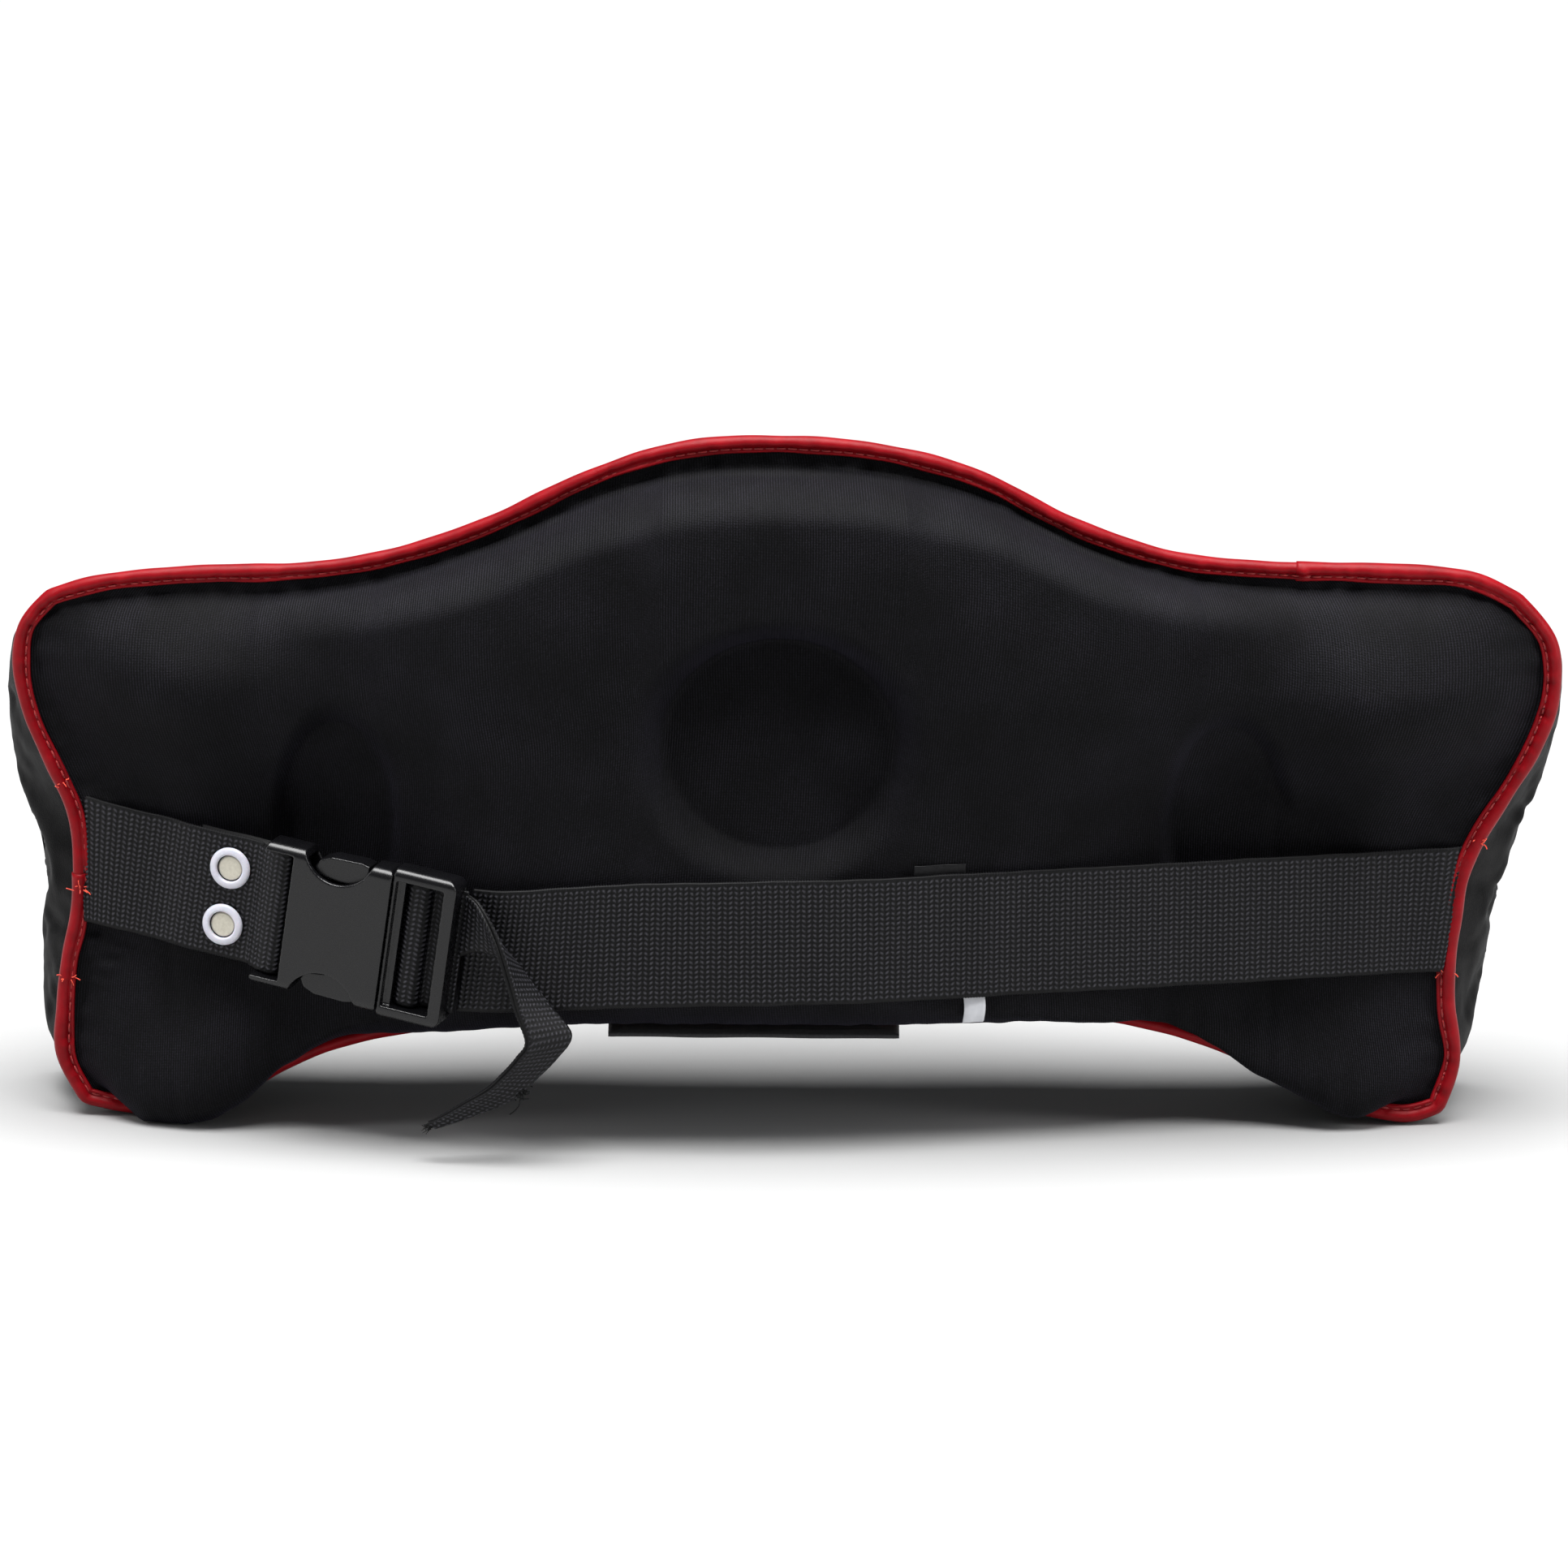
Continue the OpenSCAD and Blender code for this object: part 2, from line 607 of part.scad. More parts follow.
// The free tail, folded double lengthwise: its near edge and its far edge.
tail_t = 2.4;
tail_edges = [
    [[-91.8, 46.1, 80], [-94, 45.1, 62.5]],
    [[-89, 50, 78.5], [-89.8, 47.2, 64]],
    [[-86, 54, 74], [-84.8, 48.5, 63.5]],
    [[-83, 57, 67], [-79.5, 48.5, 61]],
    [[-80, 58.5, 57.5], [-74.5, 48.8, 54.5]],
    [[-77.5, 59, 48.5], [-68, 49.5, 46.5]],
    [[-74.5, 58.5, 38.5], [-62.5, 51, 39]],
    [[-77.5, 57.8, 33], [-66, 52, 33]],
    [[-82, 57, 27.5], [-72, 52, 26.5]],
    [[-86.5, 56, 23], [-77.5, 52, 21]],
    [[-93.5, 54.5, 18.5], [-87, 52, 16.5]],
    [[-99, 53.5, 15], [-95, 52, 13]],
    [[-103.5, 52.5, 12.5], [-101.5, 52, 10.5]]
];

module strap_tail() {
    color([0.12, 0.12, 0.13]) ribbon(tail_edges, tail_t);
}

foam_core();
comfort_layer();
back_panel();
front_panel();
front_wing_left();
front_wing_right();
boxing_top();
boxing_bottom();
boxing_left();
boxing_right();
binding_upper();
binding_lower();
closing_flap();
loop_tape();
hook_tape();
care_label();
blank_tag();
strap_left();
strap_right();
strap_loop();
strap_tail();
rivet_rings();
rivet_caps();
rivet_backs();
buckle_socket();
buckle_insert();
prong_upper();
prong_lower();
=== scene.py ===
import math

import bmesh
import bpy
import numpy as np
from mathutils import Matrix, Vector


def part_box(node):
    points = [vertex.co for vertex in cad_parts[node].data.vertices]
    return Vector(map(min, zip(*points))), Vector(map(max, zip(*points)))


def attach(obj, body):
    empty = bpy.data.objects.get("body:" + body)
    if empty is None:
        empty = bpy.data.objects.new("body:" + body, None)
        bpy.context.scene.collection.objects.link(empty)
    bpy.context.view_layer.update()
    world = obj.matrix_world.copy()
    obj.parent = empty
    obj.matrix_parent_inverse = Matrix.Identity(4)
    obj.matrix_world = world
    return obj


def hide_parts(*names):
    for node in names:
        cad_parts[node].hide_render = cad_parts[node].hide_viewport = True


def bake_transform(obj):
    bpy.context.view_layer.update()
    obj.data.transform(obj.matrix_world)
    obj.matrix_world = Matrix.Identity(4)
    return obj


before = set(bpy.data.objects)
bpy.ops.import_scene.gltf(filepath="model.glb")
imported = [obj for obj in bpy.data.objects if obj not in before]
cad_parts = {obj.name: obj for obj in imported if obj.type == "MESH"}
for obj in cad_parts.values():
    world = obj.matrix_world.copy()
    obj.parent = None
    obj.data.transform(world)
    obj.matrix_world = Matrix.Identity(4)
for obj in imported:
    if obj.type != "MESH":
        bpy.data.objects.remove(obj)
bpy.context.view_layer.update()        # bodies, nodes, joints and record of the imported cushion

# Lengths are in millimetres up to the last step, which writes metres. A point is either
# [x, z] on an outline, [x, depth, z] with depth counted rearwards from the wing tips, as in
# the CAD source, or [x, y, z] in the row frame.
MM = 0.001
DEPTH_ZERO = 1.5        # y of the points whose depth is 0
RNG = np.random.default_rng(7)

# ---- outlines, as in the CAD

RIM_BOTTOM = np.array([
    [-206, 5.5], [-190, 3.2], [-168, 5.5], [-143, 20.5], [-115, 29.5], [-86, 33.5],
    [-57, 35.5], [-29, 36], [0, 36], [29, 36], [57, 36.5], [86, 36.5], [115, 31.5],
    [143, 20], [166, 8], [184, 3.2], [195, 5.5]])
RIM_TOP = np.array([
    [-216, 158.5], [-200, 163.5], [-172, 167], [-143, 168.5], [-115, 173.5], [-86, 184],
    [-57, 198.5], [-29, 207.5], [0, 209.3], [29, 206.8], [57, 199], [86, 184], [115, 174],
    [143, 170.8], [172, 169.5], [200, 167.2], [216, 160]])
RIM_LEFT = np.array([
    [-206, 5.5], [-212.5, 18], [-212.5, 33], [-211, 48], [-208.5, 60], [-207.5, 75],
    [-209, 92], [-216, 108], [-222, 122], [-225, 136], [-223.5, 149], [-216, 158.5]])
RIM_RIGHT = np.array([
    [195, 5.5], [199.5, 20], [197.5, 36], [197.5, 50], [199, 63], [201, 76],
    [206, 88], [214, 101], [222, 115], [227, 130], [226, 147], [216, 160]])
RIM = (RIM_BOTTOM, RIM_TOP, RIM_LEFT, RIM_RIGHT)
FRONT_LEFT = np.array([
    [-212, 5.5], [-215.5, 18], [-216.5, 32], [-217.5, 46], [-218.5, 60], [-220.5, 74],
    [-224, 88], [-226.5, 101], [-226.5, 113], [-225, 125], [-221, 136], [-213, 143.5]])
FRONT_RIGHT = np.array([
    [198, 5.5], [201.5, 17], [205, 29], [208.5, 42], [211.5, 55], [214.5, 68],
    [218, 80], [222, 92], [225, 104], [226, 118], [223, 134], [213, 145]])
FRONT_TOP = RIM_TOP * [213 / 216, 1] - [0, 15]
FRONT_BOTTOM = RIM_BOTTOM + np.linspace(-6, 3, len(RIM_BOTTOM))[:, None] * [1, 0]
FRONT = (FRONT_BOTTOM, FRONT_TOP, FRONT_LEFT, FRONT_RIGHT)

HALF_W = 230
RIM_SPAN = 420
RIM_BOW = 14            # how far the rim's middle stands behind its ends
BACK_DEPTH = 44
BACK_FALL = 20          # how much shallower the back is at its sides
BOXING_W = 46
BOXING_SWELL = 4
FOOT_SWELL = 3
FRONT_CROWN = 20
SHELL_T = 3
LEATHER_T = 1.4
RIM_INSET = (0.0066, 0.020)
SEAM_A = 0.27           # share of the front's width where its first upright seam runs
STRAP_LOW = 2.4
TUCK = 1.6              # how far inside the rim line the moulded back ends, under the tape
FLOOR_GAP = 0.4         # the leather's lowest height


def lerp(p, q, f):
    return p + (q - p) * f


def smooth(f):
    f = np.clip(f, 0, 1)
    return f * f * (3 - 2 * f)


def spline(p, f):
    """Catmull-Rom curve through the rows of p, at the shares f of its length."""
    f = np.asarray(f, float)
    u = np.clip(f, 0, 1) * (len(p) - 1)
    i = np.minimum(np.floor(u).astype(int), len(p) - 2)
    k = (u - i).reshape(u.shape + (1,) * (p.ndim - 1))
    a, b, c, d = (p[np.clip(i + s, 0, len(p) - 1)] for s in (-1, 0, 1, 2))
    return (2 * b + (c - a) * k + (2 * a - 5 * b + 4 * c - d) * k ** 2
            + (3 * b - a - 3 * c + d) * k ** 3) / 2


def patch(edges, a, b):
    """Points of the patch inside four edges [bottom, top, left, right]."""
    bottom, top, left, right = edges
    ca, cb = a[..., None], b[..., None]
    low, high = lerp(bottom[0], bottom[-1], ca), lerp(top[0], top[-1], ca)
    return (lerp(spline(bottom, a), spline(top, a), cb)
            + lerp(spline(left, b), spline(right, b), ca) - lerp(low, high, cb))


def reach(p):
    return np.linalg.norm(p, axis=-1)


def unit(v):
    return v / np.maximum(reach(v), 1e-9)[..., None]


def edge_gaps(edges, a, b):
    """Points of a patch and their distances from its bottom, top, left and right edges."""
    p = patch(edges, a, b)
    zero, one = np.zeros_like(a), np.ones_like(a)
    ends = ((a, zero), (a, one), (zero, b), (one, b))
    return p, [reach(p - patch(edges, *end)) for end in ends]


def rim_depth(x):
    return RIM_BOW * (1 - (x / HALF_W) ** 2)


def round_rise(d, w):
    return np.sqrt(1 - (1 - np.clip(d / w, 0, 1)) ** 2)


def soft_rise(d, w):
    return 1 - (1 - np.clip(d / w, 0, 1)) ** 2


def waves(u, v, seed, lengths, slant=math.pi):
    """Smooth uneven field between about -1 and 1, from seeded waves of the given lengths."""
    rng = np.random.default_rng(seed)
    total = np.zeros(np.broadcast(u, v).shape)
    for length in lengths:
        angle, phase = rng.uniform(-slant, slant), rng.uniform(0, 2 * math.pi)
        along = u * math.cos(angle) + v * math.sin(angle)
        total += np.sin(2 * math.pi * along / length + phase)
    return total / math.sqrt(len(lengths))


def ripple(t, seed, *lengths):
    """The same field along one length only."""
    return waves(t, 0 * t, seed, lengths, 0.01)


def bell(d, size):
    return np.exp(-(d / size) ** 2)


# ---- depths of the surfaces

BUCKLE_AT = np.array([-150.6, 22, 70.8])        # [x, depth, z] of the buckle's own zero
BUCKLE_ROLL = math.radians(8)
BUCKLE_YAW = math.radians(19)
STRAP_W, STRAP_T = 38.0, 1.5
STRAP_ENDS = (-204, 196)        # x where the strap leaves the rim
LONG_SLOPE = 0.2155
STRAP_LINE = ((-207, -95, -35), (79.0, 62.5, 66.0))     # x and z of the strap's middle line


def strap_room(x):
    """Depth left for the back under the tight strap."""
    left = STRAP_LOW + (x - STRAP_ENDS[0]) * math.tan(BUCKLE_YAW)
    right = STRAP_LOW + STRAP_T + (STRAP_ENDS[1] - x) * LONG_SLOPE
    return np.minimum(np.minimum(left, right), BACK_DEPTH)


# Centre, half size of the floor, depth, width of the wall, and depth of the dish round it.
RECESSES = (
    ((-1, 122), (34, 31), 11.5, 10, 3.0),
    ((-131, 93), (16, 33), 4.5, 4.5, 7.0),
    ((131, 93), (16, 33), 4.5, 4.5, 7.0))
DISH_W = 34
# How far inside the rim line the back starts to rise.
TOP_LIP, BOTTOM_LIP, SIDE_LIP = 7.5, 5, 4
BUNCHES = ((-199, 47, 8, 1.3), (-199, 98, 6, 0.8), (194, 92, 6, 0.8))    # x, z, size, height
MOULD_LINES = ((-184, 0.06), (146, -0.02))      # x and lean of a faint line down each wing


def recess_depth(p):
    """How far the recesses lower the back: a crisp wall round the floor, in a wide shallow dish."""
    deepest = np.zeros(p.shape[:-1])
    for centre, size, depth, wall, dish in RECESSES:
        away = (reach((p - centre) / size) - 1) * min(size)
        lean = 1 + 0.3 * (p[..., 1] - centre[1]) / size[1]
        low = depth * lean * (1 - np.clip(away / wall, 0, 1)) ** 1.7
        deepest = np.maximum(deepest, low + dish * (1 - smooth(away / DISH_W)))
    return deepest


def back_surface(a, b):
    """Outer surface of the moulded back as [x, depth, z], with its small creases."""
    p, (below, above, left, right) = edge_gaps(RIM, a, b)
    x, z = p[..., 0], p[..., 1]
    beside = np.minimum(left, right)
    top, bottom, side = above - TOP_LIP, below - BOTTOM_LIP, beside - SIDE_LIP
    edge = rim_depth(x)
    full = BACK_DEPTH - BACK_FALL * (x / HALF_W) ** 2
    # The middle has a crisp crest near its rim, and the wings a softer one.
    wing = smooth((np.abs(x) - 118) / 50)
    middle_crest = lerp(soft_rise(top, 48), round_rise(top, 12), 0.8)
    wing_crest = lerp(soft_rise(top, 50), round_rise(top, 40), 0.25)
    rise = lerp(middle_crest, wing_crest, wing) * round_rise(bottom, 24) * soft_rise(side, 46)
    free = lerp(edge, full, rise)
    # The tight strap holds the back down in a band.
    band = smooth((72 - np.abs(z - np.interp(x, *STRAP_LINE))) / 50)
    held = free - np.maximum(0, free - strap_room(x)) * band
    depth = np.maximum(edge, held - recess_depth(p))
    # Puckers that run in from the stitched rim, and a slack, uneven surface.
    upright = np.minimum(above, below)
    rim_gap = np.minimum(upright, beside)
    lengths = (7.5, 9.0, 11.0, 16.0, 23.0)
    pucker = np.where(beside < upright, ripple(z, 3, *lengths), ripple(x, 4, *lengths))
    fade = smooth((rim_gap - 2) / 4) * np.exp(-np.maximum(rim_gap - 6, 0) / 7)
    depth += 0.5 * pucker * fade
    depth += 0.28 * waves(x, z, 11, (47, 61, 83, 110)) * smooth(rim_gap / 20)
    for cx, cz, size, high in BUNCHES:
        near = bell(x - cx, size) * bell(z - cz, size)
        depth += high * near * (0.5 + 0.5 * waves(x, z, 21, (4.5, 6.0, 7.5)))
    for cx, lean in MOULD_LINES:
        line = bell(x - cx + lean * (z - 100), 1.6) * smooth((115 - z) / 30)
        depth -= 0.5 * line * smooth(rim_gap / 12)
    # Under the rim the back hangs below its line, most of all over the feet.
    corner = smooth((left - 6) / 18) * smooth((right - 10) / 20)
    out = np.abs(x + 9)
    sag = 7.5 + 2.5 * smooth((out - 138) / 12) - 3.0 * bell(out - 121, 13)
    hang = sag * smooth(below / 6) * smooth((50 - below) / 44) * corner
    return np.stack([x, depth, np.maximum(z - hang, 0.5)], -1)


def front_surface(a, b):
    p, (bottom, top, left, right) = edge_gaps(FRONT, a, b)
    x = p[..., 0]
    crown = FRONT_CROWN * lerp(1.25, 0.7, smooth((np.abs(x) - 60) / 90))
    rise = soft_rise(top, 60) * soft_rise(bottom, 45) * soft_rise(np.minimum(left, right), 60)
    return np.stack([x, rim_depth(x) - BOXING_W - crown * rise, p[..., 1]], -1)


def boxing_surface(a, b, c, out):
    """Outer surface of one strip of boxing, at the share c from rim to front edge."""
    r = patch(RIM, *(lerp(gap, 1 - gap, share) for gap, share in zip(RIM_INSET, (a, b))))
    f = patch(FRONT, a, b)
    along, end = (b, 0.12) if out[0] else (a, 0.03)
    fade = smooth(along / end) * smooth((1 - along) / end)
    under = smooth((np.abs(r[..., 0]) - 120) / 40) * (out[1] < 0)
    most = BOXING_SWELL * (-0.6 if out[1] > 0 else 1) + FOOT_SWELL * under
    swell = fade * most * np.sin(math.pi * c) ** (1 - 0.4 * under)
    p = lerp(r, f, c[..., None]) + np.array(out) * swell[..., None]
    rear = rim_depth(r[..., 0]) - SHELL_T
    fore = rim_depth(f[..., 0]) - BOXING_W
    return np.stack([p[..., 0], lerp(rear, fore, c), np.maximum(p[..., 1], FLOOR_GAP)], -1)


def place(p):
    """[x, depth, z] to [x, y, z] in the row frame."""
    return np.stack([p[..., 0], DEPTH_ZERO - p[..., 1], p[..., 2]], -1)


# ---- mesh building


class Build:
    """Collects vertices, faces and a flat layout in millimetres for one mesh."""

    def __init__(self):
        self.points, self.faces, self.flat, self.relief = [], [], [], []
        self.count = 0

    def grid(self, points, flat=None, relief=None, wrap=False, flip=False):
        """A grid of points (rows, columns, 3). With wrap, its columns close into a ring."""
        n, m = points.shape[:2]
        ids = self.count + np.arange(n * m).reshape(n, m)
        self.count += n * m
        points = points.reshape(-1, 3)
        self.points.append(points)
        self.flat.append(points[:, [0, 2]] if flat is None else flat.reshape(-1, 2))
        self.relief.append(np.zeros(n * m) if relief is None else relief.ravel())
        if wrap:
            ids = np.concatenate([ids, ids[:, :1]], 1)
        quads = quads_of(ids)
        self.faces += (quads[:, ::-1] if flip else quads).tolist()
        return ids

    def band(self, rings, flat=None, relief=None):
        """A closed solid through rings of points, capped at both ends."""
        ids = self.grid(rings, flat, relief, wrap=True)
        self.faces += [ids[0, :-1][::-1].tolist(), ids[-1, :-1].tolist()]
        return self

    def tube(self, path, radius, sides=6):
        """A closed round thread along path; radius is a number or one per point."""
        ahead = unit(np.gradient(path, axis=0))
        side = unit(np.cross(ahead, [0.31, 0.17, 0.93]))
        up = np.cross(ahead, side)
        turn = np.linspace(0, 2 * math.pi, sides, endpoint=False)[None, :, None]
        size = np.broadcast_to(radius, len(path))[:, None, None]
        self.band(path[:, None] + (side[:, None] * np.cos(turn) + up[:, None] * np.sin(turn)) * size)

    def slab(self, outer, inner, flat=None):
        """A closed solid between two grids of the same size."""
        a = self.grid(outer, flat)
        b = self.grid(inner, flat, flip=True)
        for p, q in ((a[0], b[0]), (b[-1], a[-1]), (b[:, 0], a[:, 0]), (a[:, -1], b[:, -1])):
            self.faces += np.stack([p[:-1], p[1:], q[1:], q[:-1]], -1).tolist()
        return self

    def make(self, name, material):
        mesh = bpy.data.meshes.new(name)
        mesh.from_pydata((np.concatenate(self.points) * MM).tolist(), [], self.faces)
        mesh.validate()
        work = bmesh.new()
        work.from_mesh(mesh)
        bmesh.ops.recalc_face_normals(work, faces=work.faces)
        work.to_mesh(mesh)
        work.free()
        corner = np.zeros(len(mesh.loops), np.int32)
        mesh.loops.foreach_get("vertex_index", corner)
        flat = np.concatenate(self.flat)[corner].astype(np.float32)
        mesh.uv_layers.new(name="flat_mm").data.foreach_set("uv", flat.ravel())
        # The relief drives the webbing's painted shade and painted highlight.
        relief = mesh.attributes.new("relief", "FLOAT", "POINT")
        relief.data.foreach_set("value", np.concatenate(self.relief).astype(np.float32))
        mesh.polygons.foreach_set("use_smooth", np.ones(len(mesh.polygons), bool))
        mesh.update()
        mesh.materials.append(material)
        return link(bpy.data.objects.new(name, mesh))

    def settle(self, name, look, body, slot, *nodes):
        """Makes the piece, rides it on its body and hides the CAD nodes it stands for; slot is not used."""
        piece = self.make(name, LOOK[look])
        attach(piece, body)
        if nodes:
            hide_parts(*nodes)
        return piece


def link(made):
    bpy.context.scene.collection.objects.link(made)
    return made


def quads_of(ids):
    return np.stack([ids[:-1, :-1], ids[1:, :-1], ids[1:, 1:], ids[:-1, 1:]], -1).reshape(-1, 4)


def share_grid(n, m, inset=(0, 0)):
    """Shares from 0 to 1 along both sides of an n by m grid, less an inset at each side."""
    a, b = (np.linspace(gap, 1 - gap, count) for gap, count in zip(inset, (n, m)))
    return np.meshgrid(a, b, indexing="ij")


def arc(points):
    """Running length along the first axis."""
    steps = reach(np.diff(points, axis=0))
    return np.concatenate([np.zeros((1,) + steps.shape[1:]), np.cumsum(steps, 0)])


def flat_layout(grid):
    """Flat coordinates in millimetres: along the middle row, and up each column from it."""
    middle = grid.shape[1] // 2
    u = np.repeat(arc(grid[:, middle])[:, None], grid.shape[1], 1)
    v = arc(np.swapaxes(grid, 0, 1)).T
    return np.stack([u, v - v[:, middle:middle + 1]], -1)


def normals(grid):
    return unit(np.cross(np.gradient(grid, axis=0), np.gradient(grid, axis=1)))


def refine(grid, n, m):
    """The grid resampled to n by m points along smooth curves."""
    rows = spline(grid, np.linspace(0, 1, n))
    return np.swapaxes(spline(np.swapaxes(rows, 0, 1), np.linspace(0, 1, m)), 0, 1)


def at_length(t, s, path):
    """Points of a path at the lengths t, where s is the running length at its points."""
    return np.stack([np.interp(t, s, column) for column in np.transpose(path)], -1)


def resample(path, step):
    """Points at an even step along a polyline."""
    path = np.asarray(path, float)
    s = arc(path)
    return at_length(np.linspace(0, s[-1], max(2, int(round(s[-1] / step)) + 1)), s, path)


def curved(path, step):
    """Points at an even step along the smooth curve through a few points."""
    path = np.asarray(path, float)
    return resample(spline(path, np.linspace(0, 1, 40 * len(path))), step)


# ---- materials


def node(tree, kind, inputs=None, **settings):
    made = tree.nodes.new(kind)
    for key, value in settings.items():
        setattr(made, key, value)
    for key, value in (inputs or {}).items():
        if isinstance(value, bpy.types.NodeSocket):
            tree.links.new(value, made.inputs[key])
        else:
            made.inputs[key].default_value = value
    return made


def calc(tree, operation, *values):
    return node(tree, "ShaderNodeMath", dict(enumerate(values)), operation=operation).outputs[0]


def ramp(tree, value, *stops):
    """Colour at value, between stops of (position, red, green, blue)."""
    made = node(tree, "ShaderNodeValToRGB", {"Fac": value})
    elements = made.color_ramp.elements
    for element, stop in ((elements[0], stops[0]), (elements[1], stops[-1])):
        element.position, element.color = stop[0], (*stop[1:], 1)
    for stop in stops[1:-1]:
        elements.new(stop[0]).color = (*stop[1:], 1)
    return made.outputs["Color"]


def between(tree, value, low, high, top=1.0):
    """Maps a value from 0 to top onto low to high."""
    return node(tree, "ShaderNodeMapRange", {
        "Value": value, "From Max": top, "To Min": low, "To Max": high}).outputs[0]


def noise(tree, scale, detail=2.0, roughness=0.5):
    """Noise in the object's own space, with scale in blotches per metre."""
    where = node(tree, "ShaderNodeTexCoord").outputs["Object"]
    return node(tree, "ShaderNodeTexNoise", {
        "Vector": where, "Scale": scale, "Detail": detail, "Roughness": roughness}).outputs["Fac"]


def grain(tree, scale):
    """Pebbled grain: low along the lines between small cells."""
    where = node(tree, "ShaderNodeTexCoord").outputs["Object"]
    cells = node(tree, "ShaderNodeTexVoronoi", {"Vector": where, "Scale": scale},
                 feature="DISTANCE_TO_EDGE")
    return between(tree, cells.outputs["Distance"], 0, 1, 0.25)


def flat_uv(tree):
    split = node(tree, "ShaderNodeSeparateXYZ",
                 {0: node(tree, "ShaderNodeUVMap", uv_map="flat_mm").outputs[0]})
    return split.outputs["X"], split.outputs["Y"]


def material(name, colour, roughness, height=None, depth=0.05, strength=1.0, **constants):
    """A Principled material. colour, roughness and height are functions of the node tree."""
    made = bpy.data.materials.new(name)
    made.use_nodes = True
    tree = made.node_tree
    shader = tree.nodes["Principled BSDF"]
    tree.links.new(colour(tree), shader.inputs["Base Color"])
    tree.links.new(roughness(tree), shader.inputs["Roughness"])
    if height:
        bump = node(tree, "ShaderNodeBump", {"Height": height(tree), "Distance": depth * MM,
                                             "Strength": strength})
        tree.links.new(bump.outputs["Normal"], shader.inputs["Normal"])
    for key, value in constants.items():
        shader.inputs[key.replace("_", " ")].default_value = value
    return made


def rib(tree, value, pitch):
    return calc(tree, "SINE", calc(tree, "MULTIPLY", value, 2 * math.pi / pitch))


def blend(tree, first, share, second, other):
    """first times share plus second times other."""
    return calc(tree, "MULTIPLY_ADD", first, share, calc(tree, "MULTIPLY", second, other))


def bumpy(*how):
    """Relief that follows noise."""
    return lambda tree: noise(tree, *how)


def shades(how, *stops):
    """Colour that follows noise, between stops of (position, red, green, blue)."""
    return lambda tree: ramp(tree, noise(tree, *how), *stops)


def varied(scale, detail, low, high):
    """Roughness that follows noise."""
    return lambda tree: between(tree, noise(tree, scale, detail), low, high)


KNIT_PITCH = 0.76


def knit_height(tree):
    u, v = flat_uv(tree)
    loops = calc(tree, "MULTIPLY_ADD", rib(tree, v, KNIT_PITCH * 1.05), 0.22, rib(tree, u, KNIT_PITCH))
    return blend(tree, noise(tree, 2300, 3), 1.3, loops, 0.42)


def knit_colour_with_painted_shade(tree):
    # Painted highlight and painted shade: the loop tops are painted lighter and bluer and the hollows
    # between loops darker. The broad noise is the knit's own uneven tone.
    tone = blend(tree, knit_height(tree), 0.42, noise(tree, 45, 3), 0.4)
    return ramp(tree, tone, (0.24, 0.0005, 0.0005, 0.0006), (0.52, 0.0020, 0.0019, 0.0026),
                (0.84, 0.0155, 0.0145, 0.0200))


def leather_height(tree):
    return blend(tree, noise(tree, 260, 4, 0.6), 1.6, grain(tree, 1500), 0.8)


def tape_height(tree):
    return blend(tree, noise(tree, 700, 3), 0.7, grain(tree, 2100), 0.5)


def webbing_colour_with_painted_shade(tree):
    relief = node(tree, "ShaderNodeAttribute", attribute_name="relief").outputs["Fac"]
    # Painted shade and painted highlight: low relief is painted dark and the bead tops light. Low relief
    # lies between the beads, on the plain back and in the tail's slit. The fine noise is the webbing's own
    # uneven tone.
    tone = blend(tree, noise(tree, 1900, 2), 0.35, relief, 0.75)
    return ramp(tree, tone, (0.25, 0.0005, 0.0005, 0.0007), (0.60, 0.0028, 0.0028, 0.0035),
                (0.96, 0.056, 0.055, 0.065))


def fibre_height(tree):
    u, v = flat_uv(tree)
    twist = rib(tree, calc(tree, "MULTIPLY_ADD", u, 0.6, v), 0.42)
    return calc(tree, "MULTIPLY_ADD", twist, 0.35, noise(tree, 3800, 2))


def rows_height(pitch):
    return lambda tree: rib(tree, flat_uv(tree)[1], pitch)


def thread(name, scale, dark, light, rough, sheen):
    return material(name, shades((scale, 2), (0.3, *dark), (0.8, *light)), varied(900, 2, *rough),
                    bumpy(5000, 1), 0.04, Sheen_Weight=sheen)


def foam(name, dark, light, cells, depth):
    return material(name, shades((500, 5), (0.2, *dark), (0.8, *light)), varied(500, 2, 0.85, 1.0),
                    lambda tree: grain(tree, cells), depth, Specular_IOR_Level=0.2)


